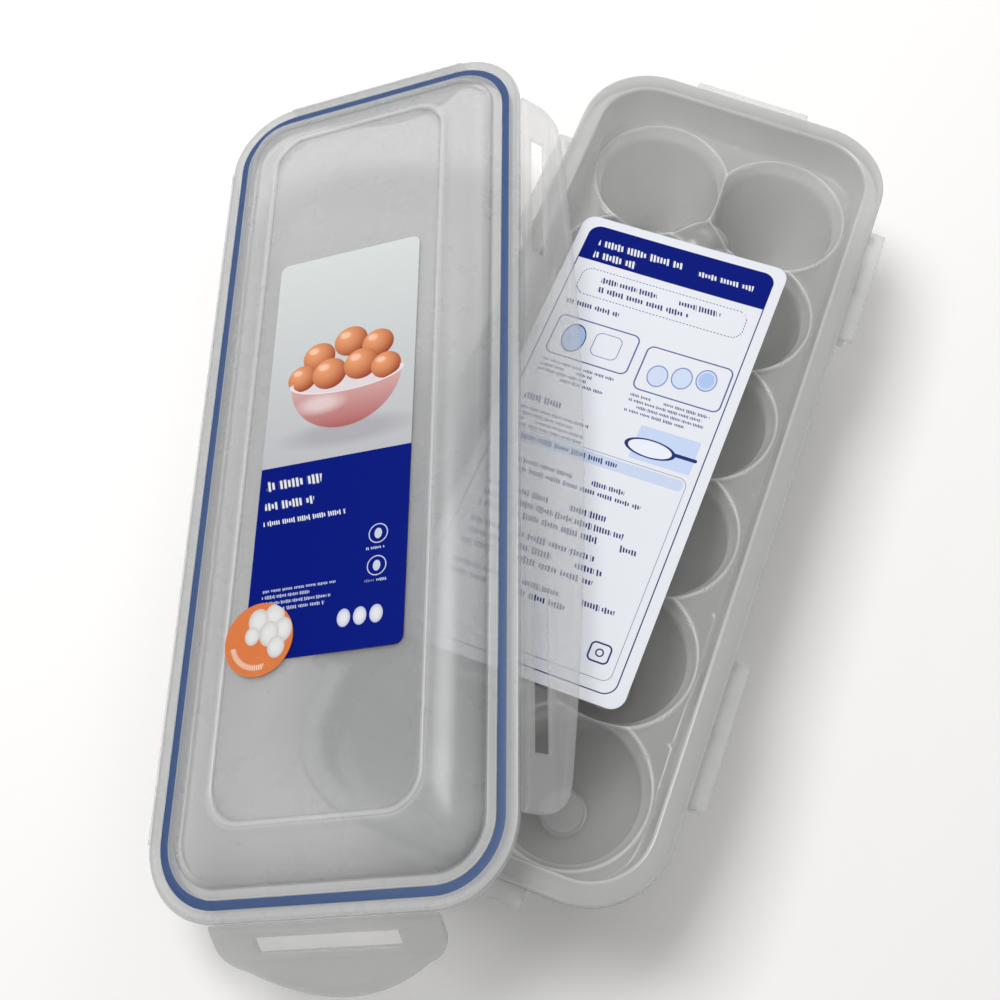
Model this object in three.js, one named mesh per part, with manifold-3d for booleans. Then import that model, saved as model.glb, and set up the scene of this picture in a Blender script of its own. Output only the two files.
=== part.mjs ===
// Egg storage container: a moulded tray of egg cups, and its lid taken off and leaned across the tray.
// Units are millimetres, +Z is up, and the tray's cup feet stand on the plane z = 0.

import * as THREE from 'three';
import { mergeVertices } from 'three/addons/utils/BufferGeometryUtils.js';
import Module from 'manifold-3d';

const wasm = await Module();
wasm.setup();

// Tray: cups in two columns, hung from a deck inside a rimmed wall
const cupColumns = 2;
const cupRows = 6;
const cupPitch = 47;
const cupMouthRadius = 25.8;
const cupBellyRadius = 23.2;
const cupFootRadius = 8.5;
const cupLipDepth = 5.5;
const cupLipWidth = 0.7;
const footDiscRise = 0.8;
const footDiscRadius = 7.4;
const footDiscEdge = 0.5;
const trayWall = 1.5;
const crestHeight = 45.5;
const deckDrop = 1.2;
const rimHeight = 61;
const rimHalfWidth = 59.2;
const rimHalfLength = 153.2;
const rimCornerRadius = 27;
const rimWidth = 7.2;
const rimThickness = 2;
const rimEdgeRound = 0.8;
const skirtDepth = 6;
const wallDraft = 0.9;
const wallFootRound = 1.6;
const humpRadius = 12.4;
const humpHeight = 4.2;
const humpDepth = 5.8;

// Lugs under the rim that the flap slots catch on
const lugReach = 5.8;
const lugThickness = 3;
const lugDrop = 3.4;
const sideLugLength = 49;
const sideLugCentre = 89;
const endLugLength = 45;
const lugGussetWidth = 1.4;
const lugGussetDepth = 3.4;

// Lid: a flange with a shallow dome, its seal ribs and its panel bead
const sealInsetAcross = 3.2;
const sealInsetAlong = 1.4;
const sealHalfWidth = rimHalfWidth - sealInsetAcross;
const sealHalfLength = rimHalfLength - sealInsetAlong;
const sealCornerRadius = 20.5;
const sealWidth = 2.4;
const sealHeight = 3.2;
const sealClearance = 0.3;
const flangeMargin = 5.4;
const flangeThickness = 2;
const flangeEdgeRound = 0.6;
const sealRibThickness = 1.2;
const sealRibDepth = 2.2;
const domeFootInset = 4.8;
const domeRise = 9.4;
const domeShoulder = 15.4;
const domeWall = 1.4;
const beadWidth = 1.8;
const beadHeight = 0.7;
const beadEdgeShare = 0.3;
const panelSink = 0.4;
const panelCornerRadius = 12;

// Flaps: hinged plates with slots, one on each side of the lid
const sideFlapWidth = 26;
const endFlapWidth = 27;
const flapThickness = 1.6;
const hingeGap = 0.3;
const hingeWebWidth = 1.4;
const hingeWebThickness = 0.6;
const sideFlapLength = 264;
const sideFlapCorner = 12.5;
const sideFlapBow = 8.4;
const endFlapLength = 75;
const endFlapCorner = 7.5;
const endFlapBow = 13.7;
const slotWidth = 6;
const slotClearance = 1;
const gripWidth = 1.5;
const gripHeight = 0.6;

// Angles of the flaps below the plane of the lid, and of the lid to the tray, in degrees
const rightFlapDroop = 58;
const leftFlapDroop = 66;
const nearFlapDroop = 46;
const farFlapDroop = 78;
const lidYaw = 21.378;
const lidRoll = -22.03;
const lidPitch = -1.15;

// The lid's resting place beside and over the tray
const lidOffsetX = -86.58;
const lidOffsetY = -34.81;
const restGap = 0.3;

// Paper pieces
const labelWidth = 55.4;
const labelLength = 151.5;
const labelCorner = 3;
const labelShiftY = -5.25;
const paperThickness = 0.3;
const stickerRadius = 12.2;
const stickerX = -22.3;
const stickerY = -73.8;
const leafletWidth = 80.4;
const leafletLength = 180.8;
const leafletCorner = 5;
const leafletThickness = 0.4;
const leafletX = -6.65;
const leafletY = -1.6;
const leafletYaw = -1.4;
const leafletRoll = -5;

// Facets
const cornerSteps = 7;
const roundSegments = 24;
const humpSegments = 12;
const humpRings = 3;
const cupRings = 5;
const cupOuterRings = 3;
const domeRings = 5;
const cutOverrun = 2;

const frostedPlastic = { color: 0xc9ccc6, roughness: 0.35, metalness: 0 };
const blueRubber = { color: 0x3f5f96, roughness: 0.55, metalness: 0 };
const labelPaper = { color: 0x1b3a8f, roughness: 0.4, metalness: 0 };
const stickerPaper = { color: 0xe6824a, roughness: 0.4, metalness: 0 };
const leafletPaper = { color: 0xf1f3f8, roughness: 0.55, metalness: 0 };

function named(name, geometry, look) {
  const mesh = new THREE.Mesh(geometry, new THREE.MeshStandardMaterial(look));
  mesh.name = name;
  return mesh;
}

// A closed geometry becomes a solid: only positions stay, and collapsed triangles are dropped
function toSolid(geometry) {
  const bare = geometry.clone();
  bare.deleteAttribute('normal');
  bare.deleteAttribute('uv');
  const merged = mergeVertices(bare, 1e-4);
  const kept = [];
  const index = merged.index.array;
  for (let i = 0; i < index.length; i += 3) {
    const [a, b, c] = [index[i], index[i + 1], index[i + 2]];
    if (a !== b && b !== c && c !== a) kept.push(a, b, c);
  }
  const vertProperties = new Float32Array(merged.attributes.position.array);
  const triVerts = new Uint32Array(kept);
  return new wasm.Manifold(new wasm.Mesh({ numProp: 3, vertProperties, triVerts }));
}

function toGeometry(solid) {
  const mesh = solid.getMesh();
  const geometry = new THREE.BufferGeometry();
  geometry.setAttribute('position', new THREE.BufferAttribute(new Float32Array(mesh.vertProperties), 3));
  geometry.setIndex(new THREE.BufferAttribute(new Uint32Array(mesh.triVerts), 1));
  geometry.computeVertexNormals();
  return geometry;
}

// Points of a rounded rectangle, counted anticlockwise, the same number for every size
function roundedRing(halfWidth, halfLength, radius, z) {
  const points = [];
  const centres = [[1, 1], [-1, 1], [-1, -1], [1, -1]];
  centres.forEach(([sx, sy], corner) => {
    for (let step = 0; step <= cornerSteps; step += 1) {
      const angle = (corner + step / cornerSteps) * Math.PI / 2;
      points.push(new THREE.Vector3(
        sx * (halfWidth - radius) + radius * Math.cos(angle),
        sy * (halfLength - radius) + radius * Math.sin(angle),
        z,
      ));
    }
  });
  return points;
}

// A profile carried round a rounded rectangle: each entry is an inset from the outline and a height.
// An open profile is closed by a flat cap at each end; a closed one joins its last ring to its first.
function loft(outline, profile, closed) {
  const rings = profile.map(([inset, z]) => roundedRing(
    outline.halfWidth - inset,
    outline.halfLength - inset,
    Math.max(outline.radius - inset, outline.leastRadius),
    z,
  ));
  const count = rings[0].length;
  const positions = rings.flat().flatMap((p) => [p.x, p.y, p.z]);
  const index = [];
  const last = closed ? rings.length : rings.length - 1;
  for (let ring = 0; ring < last; ring += 1) {
    const next = (ring + 1) % rings.length;
    for (let i = 0; i < count; i += 1) {
      const j = (i + 1) % count;
      const [a, b] = [ring * count + i, ring * count + j];
      const [c, d] = [next * count + i, next * count + j];
      index.push(a, c, b, b, c, d);
    }
  }
  if (!closed) {
    const top = positions.length / 3;
    positions.push(0, 0, profile[0][1]);
    positions.push(0, 0, profile[profile.length - 1][1]);
    const lowest = (rings.length - 1) * count;
    for (let i = 0; i < count; i += 1) {
      const j = (i + 1) % count;
      index.push(top, i, j);
      index.push(top + 1, lowest + j, lowest + i);
    }
  }
  const geometry = new THREE.BufferGeometry();
  geometry.setAttribute('position', new THREE.Float32BufferAttribute(positions, 3));
  geometry.setIndex(index);
  geometry.computeVertexNormals();
  return geometry;
}

// A profile of [radius, height] pairs, from the axis to the axis, turned about +Z
function turned(profile, x, y, segments) {
  const points = profile.map(([r, z]) => new THREE.Vector2(r, z));
  const geometry = new THREE.LatheGeometry(points, segments);
  geometry.rotateX(Math.PI / 2);
  geometry.translate(x, y, 0);
  return toSolid(geometry);
}

function box(x0, x1, y0, y1, z0, z1) {
  const geometry = new THREE.BoxGeometry(x1 - x0, y1 - y0, z1 - z0);
  geometry.translate((x0 + x1) / 2, (y0 + y1) / 2, (z0 + z1) / 2);
  return toSolid(geometry);
}

function cupCentres() {
  const centres = [];
  for (let column = 0; column < cupColumns; column += 1) {
    for (let row = 0; row < cupRows; row += 1) {
      centres.push([(column - (cupColumns - 1) / 2) * cupPitch, (row - (cupRows - 1) / 2) * cupPitch]);
    }
  }
  return centres;
}

// The cup's side: an elliptical belly from the foot up to the lip, then a lip that flares to the mouth
function cupSide(offset, floor, top, rings) {
  const bellyTop = crestHeight - cupLipDepth;
  const startShare = (cupFootRadius + offset) / (cupBellyRadius + offset);
  const startAngle = Math.asin(startShare);
  const side = [];
  for (let ring = 0; ring <= rings; ring += 1) {
    const angle = startAngle + (Math.PI / 2 - startAngle) * (ring / rings);
    const riseShare = (Math.cos(startAngle) - Math.cos(angle)) / Math.cos(startAngle);
    side.push([(cupBellyRadius + offset) * Math.sin(angle), floor + (bellyTop - floor) * riseShare]);
  }
  side.push([cupMouthRadius + Math.min(offset, cupLipWidth), top]);
  return side;
}

function cupOuter(x, y) {
  const side = cupSide(trayWall, 0, crestHeight, cupOuterRings);
  return turned([[0, 0], ...side, [0, crestHeight]], x, y, roundSegments);
}

function cupInner(x, y) {
  const floor = trayWall;
  const disc = floor + footDiscRise;
  const above = crestHeight + humpHeight + cutOverrun;
  return turned([
    [0, disc],
    [footDiscRadius - footDiscEdge, disc],
    [footDiscRadius, floor],
    ...cupSide(0, floor, crestHeight, cupRings),
    [cupMouthRadius, above],
    [0, above],
  ], x, y, roundSegments);
}

// A rounded hump where four cups meet: half an ellipsoid standing on a short round post
function hump(x, y, radius, foot, base, top) {
  const profile = [[0, foot], [radius, foot]];
  for (let ring = 0; ring < humpRings; ring += 1) {
    const angle = (ring / humpRings) * Math.PI / 2;
    profile.push([radius * Math.cos(angle), base + (top - base) * Math.sin(angle)]);
  }
  profile.push([0, top]);
  return turned(profile, x, y, humpSegments);
}

// Humps or their hollows, with the cups' round bellies cut out of them
function humpsBetween(places, radius, foot, base, top, bellyRadius) {
  let solid = null;
  places.forEach((y) => {
    const piece = hump(0, y, radius, foot, base, top);
    solid = solid ? solid.add(piece) : piece;
  });
  cupCentres().forEach(([x, y]) => {
    const low = foot - cutOverrun;
    const high = top + cutOverrun;
    const belly = [[0, low], [bellyRadius, low], [bellyRadius, high], [0, high]];
    solid = solid.subtract(turned(belly, x, y, roundSegments));
  });
  return solid;
}

// A lug under the rim with three gussets: along is its middle on the side it runs along,
// edge is the rim's outer face there, and outward is the side of the tray it stands out on
function lug(lugLength, along, edge, outward, onEnd) {
  const top = rimHeight - lugDrop;
  const bottom = top - lugThickness;
  const inner = edge - rimWidth / 2;
  const place = (a0, a1, b0, b1, z0, z1) => {
    const [near, far] = outward > 0 ? [b0, b1] : [-b1, -b0];
    return onEnd ? box(a0, a1, near, far, z0, z1) : box(near, far, a0, a1, z0, z1);
  };
  const start = along - lugLength / 2;
  let solid = place(start, start + lugLength, inner, edge + lugReach, bottom, top);
  const step = (lugLength - lugGussetWidth) / 2;
  for (let gusset = 0; gusset <= 2; gusset += 1) {
    const from = start + gusset * step;
    solid = solid.add(place(from, from + lugGussetWidth, inner, edge + lugReach / 2,
      bottom - lugGussetDepth, bottom + rimEdgeRound));
  }
  return solid;
}

function makeTray() {
  const outline = {
    halfWidth: rimHalfWidth,
    halfLength: rimHalfLength,
    radius: rimCornerRadius,
    leastRadius: rimCornerRadius / 3,
  };
  const deckTop = crestHeight - deckDrop;
  const deckBottom = deckTop - trayWall;
  const footInset = rimWidth + wallDraft;
  const rimUnder = rimHeight - rimThickness;
  const profile = [
    [footInset + wallFootRound, deckTop],
    [footInset, deckTop + wallFootRound],
    [rimWidth, rimHeight - rimEdgeRound],
    [rimWidth - rimEdgeRound, rimHeight],
    [rimEdgeRound, rimHeight],
    [0, rimHeight - rimEdgeRound],
    [0, rimHeight - skirtDepth],
    [trayWall, rimHeight - skirtDepth],
    [trayWall, rimUnder],
    [rimWidth - trayWall, rimUnder],
    [footInset - trayWall, deckBottom + wallFootRound],
    [footInset + wallFootRound - trayWall, deckBottom],
  ];
  let solid = toSolid(loft(outline, profile, false));
  const centres = cupCentres();
  centres.forEach(([x, y]) => {
    solid = solid.add(cupOuter(x, y));
  });
  centres.forEach(([x, y]) => {
    solid = solid.subtract(cupInner(x, y));
  });
  const humps = [];
  for (let row = 1; row < cupRows; row += 1) humps.push((row - cupRows / 2) * cupPitch);
  const humpBase = crestHeight - humpDepth;
  const humpTop = crestHeight + humpHeight;
  solid = solid.add(humpsBetween(humps, humpRadius, humpBase, humpBase, humpTop, cupBellyRadius));
  solid = solid.subtract(humpsBetween(humps, humpRadius - trayWall, humpBase - cutOverrun, humpBase,
    humpTop - trayWall, cupBellyRadius + trayWall));
  [-1, 1].forEach((outward) => {
    [-sideLugCentre, sideLugCentre].forEach((along) => {
      solid = solid.add(lug(sideLugLength, along, rimHalfWidth, outward, false));
    });
    solid = solid.add(lug(endLugLength, 0, rimHalfLength, outward, true));
  });
  return named('tray', toGeometry(solid), frostedPlastic);
}

// The flange's outline, which the lid and its flaps share
const flangeOutline = {
  halfWidth: sealHalfWidth + flangeMargin,
  halfLength: sealHalfLength + flangeMargin,
  radius: sealCornerRadius + flangeMargin,
  leastRadius: panelCornerRadius,
};
const footInset = flangeMargin + domeFootInset;

// The dome's shoulder: a quarter ellipse from the foot on the flange up to the panel
function shoulder(from, to, rise, base) {
  const steps = [];
  for (let step = 0; step <= domeRings; step += 1) {
    const angle = (step / domeRings) * Math.PI / 2;
    steps.push([from + (to - from) * (1 - Math.cos(angle)), base + rise * Math.sin(angle)]);
  }
  return steps;
}

function makeLid() {
  const panelInset = footInset + domeShoulder;
  const ribIn = flangeMargin + sealWidth / 2 + sealClearance;
  const ribOut = flangeMargin - sealWidth / 2 - sealClearance;
  const under = -flangeThickness;
  const panelTop = domeRise - panelSink;
  const outer = [
    [panelInset + beadWidth, panelTop],
    [panelInset + beadWidth * (1 - beadEdgeShare), domeRise + beadHeight],
    [panelInset + beadWidth * beadEdgeShare, domeRise + beadHeight],
    ...shoulder(footInset, panelInset, domeRise, 0).reverse(),
    [flangeEdgeRound, 0],
    [0, -flangeEdgeRound],
    [0, under],
  ];
  const ribs = [
    [ribOut - sealRibThickness, under],
    [ribOut - sealRibThickness, under - sealRibDepth],
    [ribOut, under - sealRibDepth],
    [ribOut, under],
    [ribIn, under],
    [ribIn, under - sealRibDepth],
    [ribIn + sealRibThickness, under - sealRibDepth],
    [ribIn + sealRibThickness, under],
  ];
  const inner = [
    ...shoulder(footInset + domeWall, panelInset + domeWall, panelTop - domeWall - under, under),
  ];
  const profile = [...outer, ...ribs, ...inner];
  return named('lid_shell', toGeometry(toSolid(loft(flangeOutline, profile, false))), frostedPlastic);
}

function makeSeal() {
  const top = -flangeThickness - sealClearance;
  const bottom = top - sealHeight;
  const outerSide = flangeMargin - sealWidth / 2;
  const innerSide = flangeMargin + sealWidth / 2;
  const round = sealWidth / 5;
  const profile = [
    [innerSide, top - round],
    [innerSide - round, top],
    [outerSide + round, top],
    [outerSide, top - round],
    [outerSide, bottom + round],
    [flangeMargin, bottom],
    [innerSide, bottom + round],
  ];
  return named('seal_ring', toGeometry(toSolid(loft(flangeOutline, profile, true))), blueRubber);
}

// A flap lies flat with its root along X and its free edge towards +Y, its top face on z = 0.
// Its slots reach past the lugs when the flap hangs straight down and the seal's ribs rest on the rim.
function flapPlate(length, width, corner, bow, slots) {
  const half = length / 2;
  const edge = width - bow;
  const bend = edge + bow * corner / half;
  const shape = new THREE.Shape();
  shape.moveTo(-half, hingeWebWidth);
  shape.lineTo(half, hingeWebWidth);
  shape.lineTo(half, edge - corner);
  shape.quadraticCurveTo(half, edge, half - corner, bend);
  shape.quadraticCurveTo(0, width * 2 - bend, -half + corner, bend);
  shape.quadraticCurveTo(-half, edge, -half, edge - corner);
  const options = { depth: flapThickness, bevelEnabled: false, curveSegments: 10 };
  const plate = new THREE.ExtrudeGeometry(shape, options);
  plate.translate(0, 0, -flapThickness);
  let solid = toSolid(plate);
  const webTop = -(flapThickness - hingeWebThickness) / 2;
  solid = solid.add(box(-half, half, -hingeWebThickness / 2, hingeWebWidth * 2,
    webTop - hingeWebThickness, webTop));
  solid = solid.add(box(-half + corner, half - corner, edge - bow / 2 - gripWidth * 2,
    edge - bow / 2 - gripWidth, -flapThickness / 2, gripHeight));
  const slotFar = flangeThickness / 2 + sealRibDepth + lugDrop + lugThickness + slotClearance / 2;
  slots.forEach(([centre, slotLength]) => {
    const slotHalf = slotLength / 2;
    solid = solid.subtract(box(centre - slotHalf, centre + slotHalf, slotFar - slotWidth, slotFar,
      -flapThickness - cutOverrun, cutOverrun));
  });
  return toGeometry(solid);
}

// Hangs a flap on one edge of the lid: turn is the way its root faces, and droop its angle below the lid
function hangFlap(name, geometry, turn, reach, droop) {
  const hinge = new THREE.Group();
  const mesh = named(name, geometry, frostedPlastic);
  mesh.position.set(0, 0, flapThickness / 2);
  const swing = new THREE.Group();
  swing.rotation.x = -THREE.MathUtils.degToRad(droop);
  swing.add(mesh);
  swing.position.set(0, reach + hingeGap + hingeWebThickness / 2, -flangeThickness / 2);
  hinge.add(swing);
  hinge.rotation.z = THREE.MathUtils.degToRad(turn);
  return hinge;
}

function paper(name, width, length, corner, look, thickness) {
  const [w, l] = [width / 2, length / 2];
  const shape = new THREE.Shape();
  shape.moveTo(-w + corner, -l);
  shape.lineTo(w - corner, -l);
  shape.quadraticCurveTo(w, -l, w, -l + corner);
  shape.lineTo(w, l - corner);
  shape.quadraticCurveTo(w, l, w - corner, l);
  shape.lineTo(-w + corner, l);
  shape.quadraticCurveTo(-w, l, -w, l - corner);
  shape.lineTo(-w, -l + corner);
  shape.quadraticCurveTo(-w, -l, -w + corner, -l);
  const options = { depth: thickness, bevelEnabled: false, curveSegments: 4 };
  return named(name, new THREE.ExtrudeGeometry(shape, options), look);
}

function makeLidGroup() {
  const lid = new THREE.Group();
  lid.add(makeLid());
  lid.add(makeSeal());
  const sideSlot = sideLugLength + slotClearance * 2;
  const endSlot = endLugLength + slotClearance * 2;
  const sideSlots = [[-sideLugCentre, sideSlot], [sideLugCentre, sideSlot]];
  const side = () => (
    flapPlate(sideFlapLength, sideFlapWidth, sideFlapCorner, sideFlapBow, sideSlots)
  );
  const end = () => (
    flapPlate(endFlapLength, endFlapWidth, endFlapCorner, endFlapBow, [[0, endSlot]])
  );
  const sideReach = flangeOutline.halfWidth;
  const endReach = flangeOutline.halfLength;
  lid.add(hangFlap('flap_right', side(), -90, sideReach, rightFlapDroop));
  lid.add(hangFlap('flap_left', side(), 90, sideReach, leftFlapDroop));
  lid.add(hangFlap('flap_near', end(), 180, endReach, nearFlapDroop));
  lid.add(hangFlap('flap_far', end(), 0, endReach, farFlapDroop));
  const panelTop = domeRise - panelSink;
  const label = paper('label', labelWidth, labelLength, labelCorner, labelPaper, paperThickness);
  label.position.set(0, labelShiftY, panelTop + restGap);
  lid.add(label);
  const disc = new THREE.CylinderGeometry(stickerRadius, stickerRadius, paperThickness, roundSegments);
  disc.rotateX(Math.PI / 2);
  const sticker = named('round_sticker', disc, stickerPaper);
  sticker.position.set(stickerX, stickerY, panelTop + restGap * 2 + paperThickness * 1.5);
  lid.add(sticker);
  return lid;
}

// The lid leans until the underside of its panel meets the rim's near left corner:
// the corner point that reaches farthest against the panel's slope sets the height.
function leanLid(lid) {
  const turn = THREE.MathUtils.degToRad;
  lid.rotation.set(turn(lidPitch), turn(lidRoll), turn(lidYaw), 'ZYX');
  const normal = new THREE.Vector3(0, 0, 1).applyEuler(lid.rotation);
  const downhill = new THREE.Vector2(normal.x, normal.y).normalize();
  const cornerX = Math.sign(downhill.x) * (rimHalfWidth - rimCornerRadius) + rimCornerRadius * downhill.x;
  const cornerY = Math.sign(downhill.y) * (rimHalfLength - rimCornerRadius) + rimCornerRadius * downhill.y;
  const ceiling = domeRise - panelSink - domeWall;
  const slope = (normal.x * (cornerX - lidOffsetX) + normal.y * (cornerY - lidOffsetY)) / normal.z;
  lid.position.set(lidOffsetX, lidOffsetY, rimHeight + restGap + slope - ceiling / normal.z);
  return lid;
}

const container = new THREE.Group();
container.add(makeTray());
container.add(leanLid(makeLidGroup()));

const leaflet = paper('leaflet', leafletWidth, leafletLength, leafletCorner, leafletPaper, leafletThickness);
const leafletSlope = Math.tan(THREE.MathUtils.degToRad(-leafletRoll));
leaflet.rotation.set(0, THREE.MathUtils.degToRad(leafletRoll), THREE.MathUtils.degToRad(leafletYaw), 'ZYX');
leaflet.position.set(leafletX, leafletY, crestHeight + humpHeight + restGap + leafletX * leafletSlope);
container.add(leaflet);

// The origin is moved to the middle of the whole outline, on the table
container.updateMatrixWorld(true);
const reach = new THREE.Box3().setFromObject(container, true);
const middle = reach.getCenter(new THREE.Vector3());
container.position.set(-middle.x, -middle.y, -reach.min.z);

export default container;
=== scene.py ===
"""An egg storage container: a frosted tray of twelve cups, a leaflet on it, and its lid leaned
across it.

Shapes are worked out in millimetres, in the tray's or the lid's own frame, and put into the row
frame in metres. The tray's frame has its origin under the tray's middle; the lid's has z = 0 on
its flange.
"""

import math

import bpy
import numpy as np
from mathutils import Matrix, Vector


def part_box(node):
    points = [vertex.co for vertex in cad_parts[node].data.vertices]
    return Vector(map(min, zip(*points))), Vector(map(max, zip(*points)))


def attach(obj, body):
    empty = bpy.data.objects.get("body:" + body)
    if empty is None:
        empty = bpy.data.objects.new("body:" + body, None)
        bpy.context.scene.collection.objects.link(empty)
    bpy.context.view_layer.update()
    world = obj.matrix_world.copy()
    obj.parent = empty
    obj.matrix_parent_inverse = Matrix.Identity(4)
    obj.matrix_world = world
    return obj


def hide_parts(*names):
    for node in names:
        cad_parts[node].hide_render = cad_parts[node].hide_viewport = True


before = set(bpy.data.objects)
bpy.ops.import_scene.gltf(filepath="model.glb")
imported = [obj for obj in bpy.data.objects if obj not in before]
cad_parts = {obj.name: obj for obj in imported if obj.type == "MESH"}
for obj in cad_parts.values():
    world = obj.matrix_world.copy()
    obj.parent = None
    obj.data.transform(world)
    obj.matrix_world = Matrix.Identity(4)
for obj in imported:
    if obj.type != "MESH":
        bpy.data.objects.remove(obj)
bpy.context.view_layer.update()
MM = 0.001

# Tray, in mm
CUP_PITCH = 47.0
CUP_COLUMNS = 2
CUP_ROWS = 6
MOUTH_RADIUS = 25.8
BELLY_RADIUS = 23.2
FOOT_RADIUS = 8.5
LIP_DEPTH = 5.5
LIP_TOP = 0.2
LIP_WIDTH = 1.2
DISC_RADIUS = 7.4
DISC_RISE = 0.8
DISC_EASE = 0.6
RING_GAP = 1.1
RING_WIDTH = 0.25
RING_HEIGHT = 0.18
WALL = 1.5
CREST_HEIGHT = 45.5
DECK_DROP = 1.2
RIM_HEIGHT = 61.0
RIM_HALF_WIDTH = 59.2
RIM_HALF_LENGTH = 153.2
RIM_CORNER = 27.0
RIM_WIDTH = 7.2
RIM_THICKNESS = 2.0
SKIRT_DEPTH = 6.0
WALL_DRAFT = 0.9
FOOT_ROUND = 1.6
HUMP_RADIUS = 12.4
HUMP_HEIGHT = 4.2
HUMP_DEPTH = 5.8
HUMP_OVERHANG = 1.6
SADDLE_BLEND = 0.16
LIP_BLEND = 0.08
HUMP_BLEND = 0.2
LUG_REACH = 5.8
LUG_THICKNESS = 3.0
LUG_DROP = 3.4
LUG_ROOT = 0.4
LUG_EASE = 0.7
SIDE_LUG_LENGTH = 49.0
SIDE_LUG_CENTRE = 89.0
END_LUG_LENGTH = 45.0
GUSSET_WIDTH = 1.4
GUSSET_DEPTH = 3.4
GUSSET_ROOT = 0.3
GUSSET_EASE = 0.4

# Lid, in mm
SEAL_HALF_WIDTH = 56.0
SEAL_HALF_LENGTH = 151.8
SEAL_WIDTH = 2.8
SEAL_HEIGHT = 3.2
SEAL_CLEARANCE = 0.15
SEAL_SKIN = 0.3
SEAL_BED = 0.05
SEAL_SQUEEZE = 0.3
FLANGE_MARGIN = 5.4
FLANGE_CORNER = 25.9
FLANGE_THICKNESS = 2.0
RIB_THICKNESS = 1.2
RIB_DEPTH = 2.2
DOME_FOOT = FLANGE_MARGIN + 4.8
DOME_RISE = 9.4
DOME_SHOULDER = 15.4
DOME_WALL = 1.4
BEAD_WIDTH = 1.8
BEAD_HEIGHT = 0.7
PANEL_SINK = 0.4
PANEL_CORNER = 12.0

# Flaps, in mm: length, width, corner, bow of the free edge, slots as (middle, half length)
SIDE_FLAP = (264.0, 26.0, 12.5, 8.4, ((-89.0, 25.5), (89.0, 25.5)))
END_FLAP = (75.0, 27.0, 7.5, 13.7, ((0.0, 23.5),))
FLAP_THICKNESS = 1.6
FLAP_EDGE = 0.35
FLAP_EDGE_WIDTH = 0.6
FLAP_STEP = 2.6
FIELD_DEPTH = 0.35
FIELD_START = 2.2
FIELD_MARGIN = 2.6
HINGE_GAP = 0.3
WEB_WIDTH = 1.4
WEB_THICKNESS = 0.6
WEB_RAMP = 0.5
SLOT_ROOM = 0.5
SLOT_FAR = FLANGE_THICKNESS / 2 + RIB_DEPTH + LUG_DROP + LUG_THICKNESS + SLOT_ROOM
SLOT_WIDTH = 6.0

# Turns, in degrees, as in the solids
LID_TURN = (21.378, -22.03, -1.15)
LEAFLET_TURN = (-1.4, -5.0, 0.0)
DROOPS = {"right": 58.0, "left": 66.0, "near": 46.0, "far": 78.0}

# Papers, in mm
LABEL_SIZE = (55.4, 151.5)
LABEL_CORNER = 3.0
LABEL_SHIFT = -5.25
LEAFLET_SIZE = (80.4, 180.8)
LEAFLET_CORNER = 5.0
STICKER_RADIUS = 12.2
PAPER = 0.3
LEAFLET_PAPER = 0.4
LABEL_GAP = 0.3


# Places


def centre_of(node):
    """Middle of a node's box at rest, in metres."""
    low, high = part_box(node)
    return (low + high) / 2


def turned(turn):
    """Turn about Z, then the new Y, then the new X, in degrees."""
    yaw, roll, pitch = (math.radians(angle) for angle in turn)
    about_z, about_y = Matrix.Rotation(yaw, 4, "Z"), Matrix.Rotation(roll, 4, "Y")
    return about_z @ about_y @ Matrix.Rotation(pitch, 4, "X")


def shifted(x, y, z):
    return Matrix.Translation((x, y, z))


tray_centre = centre_of("tray")
TRAY_PLACE = shifted(tray_centre.x, tray_centre.y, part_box("tray")[0].z) @ Matrix.Scale(MM, 4)
LABEL_HEIGHT = DOME_RISE - PANEL_SINK + LABEL_GAP
LID_PLACE = (
    Matrix.Translation(centre_of("label"))
    @ turned(LID_TURN)
    @ Matrix.Scale(MM, 4)
    @ shifted(0, -LABEL_SHIFT, -LABEL_HEIGHT - PAPER / 2)
)
LEAFLET_PLACE = (
    Matrix.Translation(centre_of("leaflet"))
    @ turned(LEAFLET_TURN)
    @ Matrix.Scale(MM, 4)
    @ shifted(0, 0, -LEAFLET_PAPER / 2)
)


# Meshes


def weld(points, quads, triangles):
    """Points that agree to a micrometre become one; faces that lose a corner lose it here too."""
    _, first, back = np.unique(np.round(points, 3), axis=0, return_index=True, return_inverse=True)
    back = back.reshape(-1)
    quads, triangles = back[quads], back[triangles]
    same = quads == np.roll(quads, -1, axis=1)
    whole = quads[~same.any(axis=1)]
    cut = quads[same.sum(axis=1) == 1]
    where = np.argmax(cut == np.roll(cut, -1, axis=1), axis=1)
    order = (where[:, None] + np.arange(1, 4)[None, :]) % 4
    kept = np.vstack([triangles, np.take_along_axis(cut, order, axis=1)])
    lost = kept == np.roll(kept, -1, axis=1)
    return points[first], whole, kept[~lost.any(axis=1)]


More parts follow.
